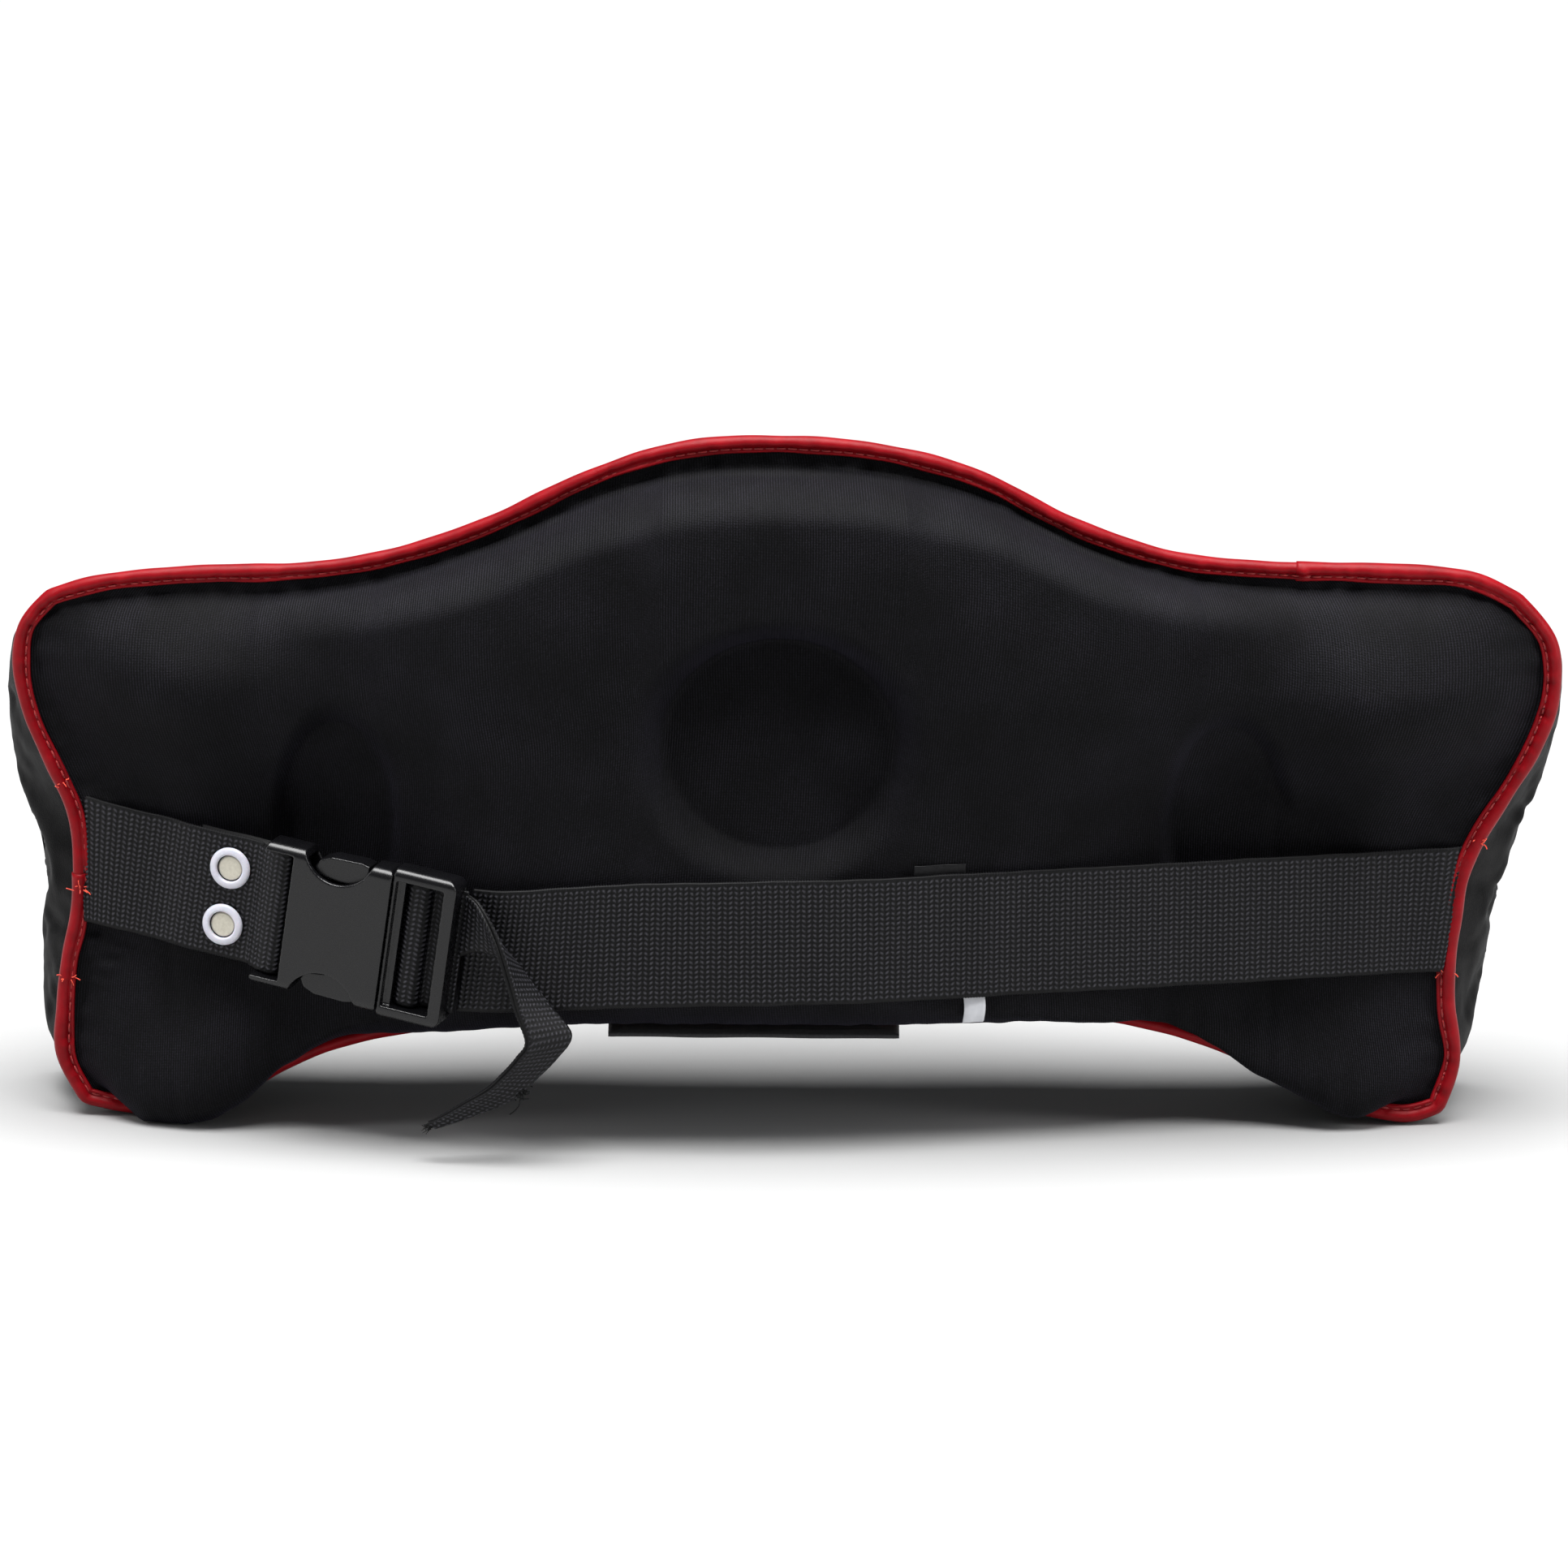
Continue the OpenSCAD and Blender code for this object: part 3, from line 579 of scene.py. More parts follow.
LOOK = {
    "knit": material(
        "back_knit", knit_colour_with_painted_shade, varied(60, 3, 0.58, 0.76), knit_height, 0.13, 0.9, Sheen_Weight=0.05,
        Sheen_Roughness=0.35, Sheen_Tint=(0.62, 0.58, 0.90, 1), Specular_IOR_Level=0.09),
    "leather": material(
        "leatherette_black",
        shades((90, 5), (0.25, 0.0018, 0.0018, 0.0020), (0.6, 0.0032, 0.0032, 0.0035),
               (0.9, 0.006, 0.006, 0.0065)),
        varied(140, 4, 0.42, 0.60), leather_height, 0.10, 0.55, Specular_IOR_Level=0.045),
    "red": material(
        "red_binding_tape",
        shades((150, 5, 0.6), (0.2, 0.15, 0.0011, 0.0035), (0.5, 0.21, 0.0018, 0.0052),
               (0.85, 0.27, 0.0034, 0.008)),
        varied(500, 3, 0.34, 0.50), tape_height, 0.06, 0.6, Specular_IOR_Level=0.13),
    "red_thread": thread("red_thread", 900, (0.24, 0.004, 0.006), (0.42, 0.012, 0.011), (0.5, 0.7), 0.2),
    "orange_thread": thread(
        "cut_thread_ends", 700, (0.75, 0.035, 0.015), (0.95, 0.10, 0.03), (0.5, 0.7), 0.3),
    "black_thread": thread(
        "black_thread", 900, (0.012, 0.012, 0.013), (0.04, 0.04, 0.043), (0.45, 0.65), 0.2),
    "webbing": material(
        "webbing_black", webbing_colour_with_painted_shade, varied(800, 2, 0.42, 0.62), fibre_height, 0.05, 0.5,
        Specular_IOR_Level=0.20),
    "cloth": material(
        "flap_cloth", shades((1200, 3), (0.2, 0.006, 0.006, 0.007), (0.8, 0.026, 0.026, 0.029)),
        varied(800, 2, 0.65, 0.85), knit_height, 0.06, 0.5, Sheen_Weight=0.2),
    "pile": material(
        "loop_pile", shades((1500, 3), (0.2, 0.01, 0.01, 0.011), (0.8, 0.045, 0.045, 0.05)),
        varied(800, 2, 0.75, 0.95), bumpy(2600, 3), 0.3, Sheen_Weight=0.4),
    "hooks": material(
        "hook_tape_plastic", shades((700, 2), (0.3, 0.012, 0.012, 0.012), (0.8, 0.03, 0.03, 0.03)),
        varied(800, 2, 0.35, 0.55), bumpy(2000, 2), 0.05),
    "label": material(
        "care_label_satin", shades((500, 3), (0.2, 0.52, 0.53, 0.56), (0.8, 0.62, 0.63, 0.66)),
        varied(900, 2, 0.35, 0.5), rows_height(0.3), 0.02, 0.5, Sheen_Weight=0.3),
    "tag": material(
        "black_tag_satin", shades((900, 3), (0.2, 0.004, 0.004, 0.0045), (0.8, 0.012, 0.012, 0.013)),
        varied(900, 2, 0.28, 0.45), rows_height(0.35), 0.02, 0.5, Specular_IOR_Level=0.15),
    "buckle": material(
        "buckle_acetal",
        shades((120, 5, 0.6), (0.25, 0.0014, 0.0014, 0.0018), (0.8, 0.0030, 0.0029, 0.0037)),
        varied(1400, 3, 0.22, 0.34), bumpy(3200, 3, 0.6), 0.03, 0.5, Specular_IOR_Level=0.42),
    "ring": material(
        "rivet_ring_plastic", shades((300, 4), (0.3, 0.54, 0.54, 0.61), (0.8, 0.62, 0.62, 0.69)),
        varied(900, 3, 0.18, 0.34), bumpy(900, 3), 0.02, 0.4,
        Subsurface_Weight=0.15, Subsurface_Scale=0.001, Coat_Weight=0.2),
    "nickel": material(
        "rivet_nickel", shades((700, 5, 0.65), (0.25, 0.50, 0.47, 0.39), (0.75, 0.66, 0.63, 0.54)),
        varied(1300, 4, 0.30, 0.55), bumpy(2500, 4), 0.02, 0.5, Metallic=0.85),
    "core_foam": foam("core_foam", (0.60, 0.53, 0.32), (0.80, 0.74, 0.50), 900, 0.4),
    "soft_foam": foam("soft_foam", (0.74, 0.72, 0.64), (0.88, 0.87, 0.80), 1300, 0.3),
}

# ---- camera, light and stage

VIEW_WIDTH = 463.7      # width of the view at the rim, in mm
VIEW_AWAY = 5000
VIEW_UP = math.radians(15)
VIEW_ROLL = math.radians(0.35)
FLOOR_REACH = 12000
AIM = Vector((0.5, DEPTH_ZERO, 102)) * MM


def add_camera():
    data = bpy.data.cameras.new("camera")
    data.sensor_width = 36
    data.lens = data.sensor_width * VIEW_AWAY / VIEW_WIDTH
    data.clip_start, data.clip_end = 0.1, 50
    camera = link(bpy.data.objects.new("camera", data))
    back = Vector((0, -math.cos(VIEW_UP), math.sin(VIEW_UP)))
    camera.location = AIM + back * VIEW_AWAY * MM
    camera.rotation_euler = (math.pi / 2 - VIEW_UP, 0, 0)
    camera.rotation_euler.rotate_axis("Z", VIEW_ROLL)
    bpy.context.scene.camera = camera


def add_light(name, place_at, size, power):
    """A soft box that faces the cushion."""
    data = bpy.data.lights.new(name, "AREA")
    data.shape = "RECTANGLE"
    data.size, data.size_y = size
    data.energy = power
    light = link(bpy.data.objects.new(name, data))
    light.location = place_at
    facing = Vector((0, 0, 0.1)) - Vector(place_at)
    light.rotation_euler = facing.to_track_quat("-Z", "Y").to_euler()


def add_stage():
    world = bpy.data.worlds.new("studio")
    world.use_nodes = True
    sky = world.node_tree.nodes["Background"].inputs
    sky["Color"].default_value = (0.95, 0.97, 1.0, 1)
    sky["Strength"].default_value = 0.12
    bpy.context.scene.world = world
    build = Build()
    edge = np.array([-1.0, 1.0]) * FLOOR_REACH
    build.grid(np.stack([*np.meshgrid(edge, edge, indexing="ij"), np.zeros((2, 2))], -1))
    floor = build.make("studio_floor", material(
        "pale_floor", shades((3, 2), (0.2, 0.335, 0.335, 0.335), (0.8, 0.35, 0.35, 0.35)),
        varied(5, 2, 0.7, 0.8)))
    bpy.context.scene.view_settings.view_transform = "Standard"
    # One broad soft light from above, a little from the camera's side, and a strip at each side.
    data = bpy.data.lights.new("overhead", "SUN")
    data.angle = math.radians(50)
    data.energy = 9.0
    link(bpy.data.objects.new("overhead", data)).rotation_euler = (math.radians(4), 0, 0)
    add_light("front_fill", (-0.5, -2.2, 1.5), (1.0, 0.7), 1.0)
    add_light("left_strip", (-1.6, -0.4, 0.7), (0.3, 1.2), 9)
    add_light("right_strip", (1.6, -0.4, 0.7), (0.3, 1.2), 14)


add_camera()
add_stage()

# ---- the moulded back


def add_back():
    a, b = share_grid(300, 146, (TUCK / RIM_SPAN, 0))
    tall = patch(RIM, a, np.ones_like(a))[..., 1] - patch(RIM, a, np.zeros_like(a))[..., 1]
    b = lerp(TUCK / tall, 1 - TUCK / tall, b)
    outer = back_surface(a, b)
    build = Build().slab(place(outer), place(outer - [0, SHELL_T, 0]), flat_layout(outer))
    back = build.settle("moulded_back", "knit", "cushion", "back_knit", "back_panel")


FOAM_INSET = (0.03, 0.085)
# Depths behind the front's face where the soft foam starts, where it ends and where the core starts.
SOFT_FACE, SOFT_END, CORE_FACE = 5.2, 14.6, 15.6


def add_foam():
    """The two foam layers inside, which show only where the cover is cut away."""
    a, b = share_grid(80, 34, FOAM_INSET)
    rear = back_surface(a, b) - [0, SHELL_T + 4, 0]
    face, end, core = (front_surface(a, b) + [0, deep, 0] for deep in (SOFT_FACE, SOFT_END, CORE_FACE))
    for name, slot, cad_node, outer, inner in (
            ("foam_block", "core_foam", "foam_core", rear, core),
            ("soft_foam_sheet", "soft_foam", "comfort_layer", end, face)):
        build = Build().slab(place(outer), place(inner), flat_layout(outer))
        layer = build.settle(name, slot, "cushion", slot, cad_node)


# ---- leather cover, by cloth simulation

CELLS_A, CELLS_B, CELLS_C = 96, 28, 9       # along the cushion, up it and across the boxing
CREASE = 0.45           # height of the fine creases beside the seams
SINK_MOST = 0.6         # how far a wrinkle may sink
# How far each side may swell, and the outward [x, z] of the strips of boxing.
SWELL_MOST = {"front": 7.0, "bottom": 7.0, "top": 2.4, "left": 4.0, "right": 4.0}
CORD_R = 1.0
SIDES = {"top": (0, 1), "bottom": (0, -1), "left": (-1, 0), "right": (1, 0)}


def cover_grids():
    """The front and the four strips of boxing as grids of [x, y, z] at rest."""
    grids = {"front": place(front_surface(*share_grid(CELLS_A + 1, CELLS_B + 1)))}
    for side, out in SIDES.items():
        k, c = share_grid((CELLS_B if out[0] else CELLS_A) + 1, CELLS_C + 1)
        fixed = np.full_like(k, max(sum(out), 0))
        a, b = (fixed, k) if out[0] else (k, fixed)
        grids[side] = place(boxing_surface(a, b, c, out))
    return grids


def cover_ids():
    """One vertex number for each grid point, shared where the grids meet."""
    count = (CELLS_A + 1) * (CELLS_B + 1)
    front = np.arange(count).reshape(CELLS_A + 1, CELLS_B + 1)
    ids, corners = {"front": front}, {}
    edges = {"top": front[:, -1], "bottom": front[:, 0], "left": front[0], "right": front[-1]}
    for side, edge in edges.items():
        n = len(edge)
        grid = np.full((n, CELLS_C + 1), -1)
        grid[:, -1] = edge
        for k in range(n):
            for c in range(CELLS_C):
                key = (int(edge[k]), c) if k in (0, n - 1) else None
                grid[k, c] = corners.get(key, count)
                if key:
                    corners[key] = grid[k, c]
                count += grid[k, c] == count
        ids[side] = grid
    return ids, int(count)


CLOTH = dict(quality=6, mass=0.3, tension_stiffness=12, compression_stiffness=12, shear_stiffness=6,
             bending_stiffness=0.4, shrink_min=-0.02, use_pressure=True, uniform_pressure_force=4.0)
FRAMES = 20


def inflate(piece, hold, most):
    """Lets the cover swell as cloth under pressure. hold lists the vertices that stay, and most
    the millimetres each vertex may move."""
    start = np.array([v.co for v in piece.data.vertices])
    piece.vertex_groups.new(name="hold").add(hold.tolist(), 1.0, "REPLACE")
    cloth = piece.modifiers.new("cloth", "CLOTH")
    for key, value in CLOTH.items():
        setattr(cloth.settings, key, value)
    cloth.settings.effector_weights.gravity = 0
    cloth.settings.vertex_group_mass = "hold"
    cloth.point_cache.frame_start, cloth.point_cache.frame_end = 1, FRAMES
    for step in range(1, FRAMES + 1):
        bpy.context.scene.frame_set(step)
    posed = piece.evaluated_get(bpy.context.evaluated_depsgraph_get()).to_mesh()
    moved = np.array([v.co for v in posed.vertices]) - start
    piece.modifiers.remove(cloth)
    moved /= np.maximum(reach(moved) / np.maximum(most * MM, 1e-9), 1)[:, None]
    # Wrinkles may sink only a little, because the foam lies close under the cover.
    out = np.array([v.normal for v in piece.data.vertices])
    sunk = np.maximum(-(moved * out).sum(1) - SINK_MOST * MM, 0)
    return (start + moved + out * sunk[:, None]) / MM


def cover_shape():
    """The grids of the leather cover after it has swelled, and the row of the first seam."""
    grids = cover_grids()
    seam = int(round(SEAM_A * CELLS_A))
    ids, count = cover_ids()
    points, most, faces = np.zeros((count, 3)), np.full(count, SWELL_MOST["front"]), []
    hold = [ids["front"][[seam, CELLS_A - seam]].ravel()]
    for side, grid in grids.items():
        points[ids[side]] = grid
        quads = quads_of(ids[side])
        inward = side in ("front", "bottom", "right")
        faces += (quads[:, ::-1] if inward else quads).tolist()
        if side in SIDES:
            most[ids[side][:, 1:-1]] = SWELL_MOST[side]
            hold += [ids[side][:, 0], ids[side][:, -1]]
    mesh = bpy.data.meshes.new("cover_cloth")
    mesh.from_pydata((points * MM).tolist(), [], faces)
    cover = link(bpy.data.objects.new("cover_cloth", mesh))
    swelled = inflate(cover, np.unique(np.concatenate(hold)), most)
    bpy.data.objects.remove(cover)
    swelled[:, 2] = np.maximum(swelled[:, 2], FLOOR_GAP)
    return {side: swelled[ids[side]] for side in grids}, seam


def edge_gap(grid, edges):
    """Distance in millimetres from each point to the named edges of its grid."""
    u, v = arc(grid), arc(np.swapaxes(grid, 0, 1)).T
    gaps = {"start": u, "end": u[-1] - u, "low": v, "high": v[:, -1:] - v}
    return np.min([gaps[e] for e in edges], 0)


def leather_piece(name, grid, size, seams, seed, out):
    """One leather panel facing out: fine creases near its seams, edges rolled in, and a thickness."""
    fine = refine(grid, *size)
    n = normals(fine)
    n *= np.sign((n * out).sum())
    gap = edge_gap(fine, seams)
    flat = flat_layout(fine)
    u, v = flat[..., 0], flat[..., 1]
    fold = 1 - np.abs(waves(u, v, seed, (9, 13, 17, 24, 33), 1.2))
    near = smooth(gap / 4) * np.exp(-np.maximum(gap - 4, 0) / 14)
    rise = CREASE * (fold * near + 0.35 * waves(u, v, seed + 1, (21, 30, 44, 60)) * smooth(gap / 10))
    roll = 1.5 * (1 - np.clip(gap / 3.2, 0, 1)) ** 2
    outer = fine + n * (rise - roll)[..., None]
    outer[..., 2] = np.maximum(outer[..., 2], 0.35)
    build = Build().slab(outer, outer - n * LEATHER_T, flat)
    piece = build.settle(name + "_leather", "leather", "cushion", "leatherette", name)
    return outer, n


def stitch_row(build, path, up, pitch=3.4, long=2.5, radius=0.26):
    """Separate stitches along a path of points with surface normals."""
    s = arc(path)
    for start in np.arange(pitch / 2, s[-1] - long, pitch):
        t = start + long * np.array([0, 0.2, 0.5, 0.8, 1])
        lift = np.array([-0.5, 0.35, 0.6, 0.35, -0.5])[:, None] * radius
        line = at_length(t, s, path) + at_length(t, s, up) * lift
        build.tube(line, radius * np.array([0.7, 1, 1.05, 1, 0.7]), 5)


def add_cover():
    grids, seam = cover_shape()
    front = grids["front"]
    threads, cords = Build(), Build()
    panels = (("front_wing_left", front[:seam + 1], (86, 90)),
              ("front_panel", front[seam:CELLS_A - seam + 1], (150, 100)),
              ("front_wing_right", front[CELLS_A - seam:], (86, 90)))
    for index, (name, grid, size) in enumerate(panels):
        outer, up = leather_piece(name, grid, size, ["start", "end", "low", "high"], 40 + index, (0, 1, 0))
        across = arc(outer[:, outer.shape[1] // 2])
        for row in (np.searchsorted(across, 6.0), np.searchsorted(across, across[-1] - 6.0)):
            stitch_row(threads, outer[row, 5:-5], up[row, 5:-5])
    for index, (side, out) in enumerate(SIDES.items()):
        outer, up = leather_piece("boxing_" + side, grids[side], (150, 40) if out[0] else (420, 30),
                                  ["high", "start", "end"], 60 + index, (out[0], 0, out[1]))
        across = arc(outer[outer.shape[0] // 2])
        column = np.searchsorted(across, across[-1] - 6.5)
        stitch_row(threads, outer[3:-3, column], up[3:-3, column])
    threads.settle("cover_topstitching", "black_thread", "cushion", "leatherette")
    # Thin cords close the seams: round the front, up its two joins and along the four corners.
    seams = [grids[side][:, -1] for side in SIDES] + [front[seam], front[CELLS_A - seam]]
    seams += [grids[side][row] for side in ("top", "bottom") for row in (0, -1)]
    for line in seams:
        path = curved(line, 1.2)
        path[:, 2] = np.maximum(path[:, 2], CORD_R + 0.3)
        cords.tube(path, CORD_R, 8)
    cords.settle("seam_cords", "leather", "cushion", "leatherette")


# ---- the bound rim


def rim_loop():
    """The closed rim, clockwise from its lower left corner, as points [x, y, z], and the share
    round it at each point: 0 to 1 on the left edge, then the top, the right and the bottom."""
    f = np.linspace(0, 1, 400, endpoint=False)
    outline = np.concatenate([spline(RIM_LEFT, f), spline(RIM_TOP, f),
                              spline(RIM_RIGHT, 1 - f), spline(RIM_BOTTOM, 1 - f)])
    kernel = np.hanning(15) / np.hanning(15).sum()
    wrapped = np.concatenate([outline[-7:], outline, outline[:7]])
    x, z = (np.convolve(wrapped[:, k], kernel, "valid") for k in (0, 1))
    loop = place(np.stack([x, rim_depth(x), z], -1))
    return np.concatenate([loop, loop[:1]]), np.concatenate([f, 1 + f, 2 + f, 3 + f, [4]])


def binding_section(count=26):
    """Section of the folded tape as [outward, rearward] points, starting at the rear fold."""
    knots = np.array([
        [-2.9, 0.6], [-2.8, 1.55], [-2.3, 1.75], [-1.75, 1.15], [-1.3, 1.2], [-0.7, 2.1], [0.3, 2.5],
        [1.4, 2.1], [2.15, 1.15], [2.4, 0.0], [2.15, -1.2], [1.4, -2.1], [0.3, -2.4], [-1.0, -2.1],
        [-2.1, -1.8], [-2.8, -1.6], [-2.9, -1.1], [-2.3, -0.4], [-2.3, 0.1], [-2.9, 0.6]])
    return resample(spline(knots, np.linspace(0, 1, 300)), arc(knots)[-1] / count)[:-1]


STITCH_OUT, STITCH_REAR, STITCH_FORE = -1.6, 1.35, -2.0
GATHERS = ((0.08, 9), (0.97, 14), (1.84, 8), (2.22, 22), (2.93, 9))     # share round the rim, size
# Share where each length of tape starts and ends, and how wide it is against its section.
TAPES = (("binding_upper", 0.425, 1.84, 0.94), ("binding_lower", 1.84, 4.425, 1.03))
LAP = 5.0               # how far the wider length runs over the other
# Share round the rim, count and spread of the cut thread ends.
THREAD_ENDS = ((0.425, 9, 3.2), (0.60, 4, 1.5), (0.235, 6, 2.0), (2.46, 5, 1.6), (2.75, 3, 1.2))


def add_binding():
    closed, share = rim_loop()
    s = arc(closed)
    total = s[-1]
    section = binding_section()
    girth = arc(section)
    threads = Build()
    rear = np.array([0, -1.0, 0])

    def length_at(q):
        return total * (q // 4) + np.interp(q % 4, share, s)

    def rim_at(t):
        return at_length(np.mod(t, total), s, closed)

    for name, q0, q1, sleeve in TAPES:
        over = sleeve > 1
        t = np.arange(length_at(q0) - LAP * over, length_at(q1) + LAP * over, 1.1)
        here = rim_at(t)
        ahead = rim_at(t + 1.5) - rim_at(t - 1.5)
        out = unit(np.stack([-ahead[:, 2], 0 * t, ahead[:, 0]], -1))
        # The tape is a little uneven: its width, its roll and small puckers between stitches.
        wide = sleeve * (1 + 0.05 * ripple(t, 31, 17, 29, 43, 71))
        ends = np.minimum(t - t[0], t[-1] - t)
        wide = (wide * (1 + 0.05 * np.exp(-ends / 6) * over))[:, None]
        roll = 0.16 * ripple(t, 32, 37, 53, 90)[:, None]
        pucker = ripple(t, 33, 3.4, 5.1, 7.7, 11.0)
        for q, size in GATHERS:
            apart = np.mod(t - length_at(q) + total / 2, total) - total / 2
            pucker *= 1 + 1.8 * bell(apart, size)
        sx, sy = section.T[:, None]
        lift = 0.20 * pucker[:, None] * bell(sx + 0.8, 1.5)
        x = (sx * np.cos(roll) - sy * np.sin(roll)) * wide
        y = (sx * np.sin(roll) + sy * np.cos(roll) + lift * np.sign(sy)) * wide
        rings = here[:, None] + out[:, None] * x[..., None] + rear * y[..., None]
        rings[..., 2] = np.maximum(rings[..., 2], 0.3)
        build = Build().band(rings, np.stack(np.broadcast_arrays(t[:, None], girth[None]), -1))
        build.settle(name + "_tape", "red", "cushion", "red_binding", name)
        for deep in (STITCH_REAR, STITCH_FORE):
            line = here + (out * STITCH_OUT + rear * deep) * wide
            stitch_row(threads, line, np.repeat(rear[None] * np.sign(deep), len(t), 0), 3.3, 2.4, 0.27)
    threads.settle("binding_stitching", "red_thread", "cushion", "red_binding")

    # Cut thread ends where the two lengths of tape meet and where the seam was locked.
    ends = Build()
    for q, count, spread in THREAD_ENDS:
        t = length_at(q)
        here, ahead = rim_at(t), unit(rim_at(t + 1) - rim_at(t - 1))
        out = np.array([-ahead[2], 0, ahead[0]])
        for _ in range(count):
            side = RNG.uniform(-1, 1)
            root = here + out * 2.4 * side + ahead * RNG.uniform(-0.8, 0.8) + [0, -2.4 + 0.8 * abs(side), 0]
            drift = out * side * spread + ahead * RNG.uniform(-1.2, 1.2) + [0, RNG.uniform(-1.2, 0), 0]
            bend = ahead * RNG.uniform(-1, 1)
            f = np.linspace(0, 1, 6)[:, None]
            ends.tube(root + drift * f + bend * f ** 2 * 1.2, 0.17, 5)
    ends.settle("binding_thread_ends", "orange_thread", "cushion", "red_binding")


# ---- webbing

BEAD_ALONG, BEAD_ACROSS, BEAD_HIGH = 1.65, 1.5, 0.46
HEM, SELVEDGE_PITCH = 0.9, 0.82
BACK_ROWS = 14          # points across the plain back of the webbing


def weave(u, v):
    """Height from 0 to 1 of the woven beads at u along and v across the webbing."""
    column = np.floor(u / BEAD_ALONG)
    fu = u / BEAD_ALONG - column
    lean = np.where(column % 2 == 0, 1.0, -1.0) * (fu - 0.5) * 0.55
    fv = v / BEAD_ACROSS + lean
    fv = fv - np.floor(fv)
    return np.sin(math.pi * fu) ** 0.6 * np.sin(math.pi * fv) ** 0.8


def webbing(middle, across, wave=0.0, skew=(0.0, 0.0)):
    """Woven band along middle (n, 3) with unit vectors across (n, 3). Its face is at ahead x across.
    wave is the height of its slackness, and skew slants the cut at its start and end."""
    both = resample(np.concatenate([middle, across], 1), BEAD_ALONG / 4)
    middle, across = both[:, :3], unit(both[:, 3:])
    ahead = unit(np.gradient(middle, axis=0))
    up = unit(np.cross(ahead, across))
    s = arc(middle)
    face = np.linspace(-STRAP_W / 2, STRAP_W / 2, int(STRAP_W / BEAD_ACROSS * 4) + 1)
    back = np.linspace(STRAP_W / 2, -STRAP_W / 2, BACK_ROWS)[1:-1]
    u, v = np.meshgrid(s, np.concatenate([face, back]), indexing="ij")
    sign = np.concatenate([np.ones(len(face)), -np.ones(len(back))])
    hem = np.clip((STRAP_W / 2 - np.abs(v)) / HEM, 0, 1)
    selvedge = np.sin(2 * math.pi * u / SELVEDGE_PITCH)
    beads = np.where(hem < 1, 0.35 + 0.35 * selvedge, weave(u, v) * (sign > 0))
    round_off = np.sqrt(1 - (1 - hem) ** 2)
    rise = sign * (STRAP_T / 2 * (0.35 + 0.65 * round_off) + (beads - 0.5) * BEAD_HIGH * round_off)
    edge = 1 + 0.006 * selvedge + 0.004 * ripple(u, 51, 13, 29, 47)
    sag = wave * waves(u, v, 52, (23, 37, 58), 0.5)
    slant = skew[0] * np.exp(-u / 9) + skew[1] * np.exp(-(s[-1] - u) / 9)
    points = middle[:, None] + across[:, None] * (v * edge)[..., None]
    points += up[:, None] * (rise + sag)[..., None] + ahead[:, None] * (slant * v)[..., None]
    return Build().band(points, np.stack([u, v], -1), beads)


def buckle_axes():
    """Unit vectors along the strap, across it and up from the cushion, in the buckle's frame."""
    cr, sr, cy, sy = (f(turn) for turn in (BUCKLE_ROLL, BUCKLE_YAW) for f in (math.cos, math.sin))
    return np.array([[cr * cy, -cr * sy, -sr], [sr * cy, -sr * sy, cr], [-sy, -cy, 0]])


ALONG, ACROSS, UP = buckle_axes()
BUCKLE_ZERO = place(BUCKLE_AT)


def at_buckle(along, across, up):
    """Row-frame points from lengths along the strap, across it and up from the cushion."""
    along, across, up = (w[..., None] for w in np.broadcast_arrays(along, across, up))
    return BUCKLE_ZERO + along * ALONG + across * ACROSS + up * UP


def add_band(cad_node, path, body, **more):
    """A band that follows a path of [along, up] points in the buckle's own frame."""
    line = curved(path, 0.2)
    build = webbing(at_buckle(line[:, 0], 0, line[:, 1]), np.repeat(ACROSS[None], len(line), 0), **more)
    build.settle(cad_node + "_webbing", "webbing", body, "webbing", cad_node)


SOCKET_L, GAP, FRAME_L = 40, 0.3, 19.7
BAR_AT, BAR_R = (4.6, 5.0), 2.0
FRAME_X = SOCKET_L + GAP
FRAME_END = FRAME_X + FRAME_L
BAR_X = (FRAME_X + 5.4, FRAME_X + 9.1)
OUTER_BAR_X = FRAME_END - 3.8
LONG_STRAP = np.array([     # x, depth, z and lean of the width, as in the CAD
    [199, 4.3, 66.3, 0], [196.5, 5.3, 66.3, 0], [193, 6.3, 66.3, 0], [180, 9.1, 66.3, 0],
    [150, 15.6, 66.2, 0], [120, 22.0, 66, 0], [90, 28.5, 66, 0],
    [60, 35.0, 65.9, 0], [35, 40.4, 65.8, 0], [20, 43.4, 65.8, 0], [5, 45.1, 65.8, 0], [-15, 45.7, 65.5, 0],
    [-45, 45.8, 64.7, 0.2], [-65, 45.8, 63.6, 0.5], [-77, 45.4, 62.9, 0.8], [-84, 44.7, 62.5, 1],
    [-88.8, 43.4, 62.3, 1], [-92.8, 42, 62.2, 1]])


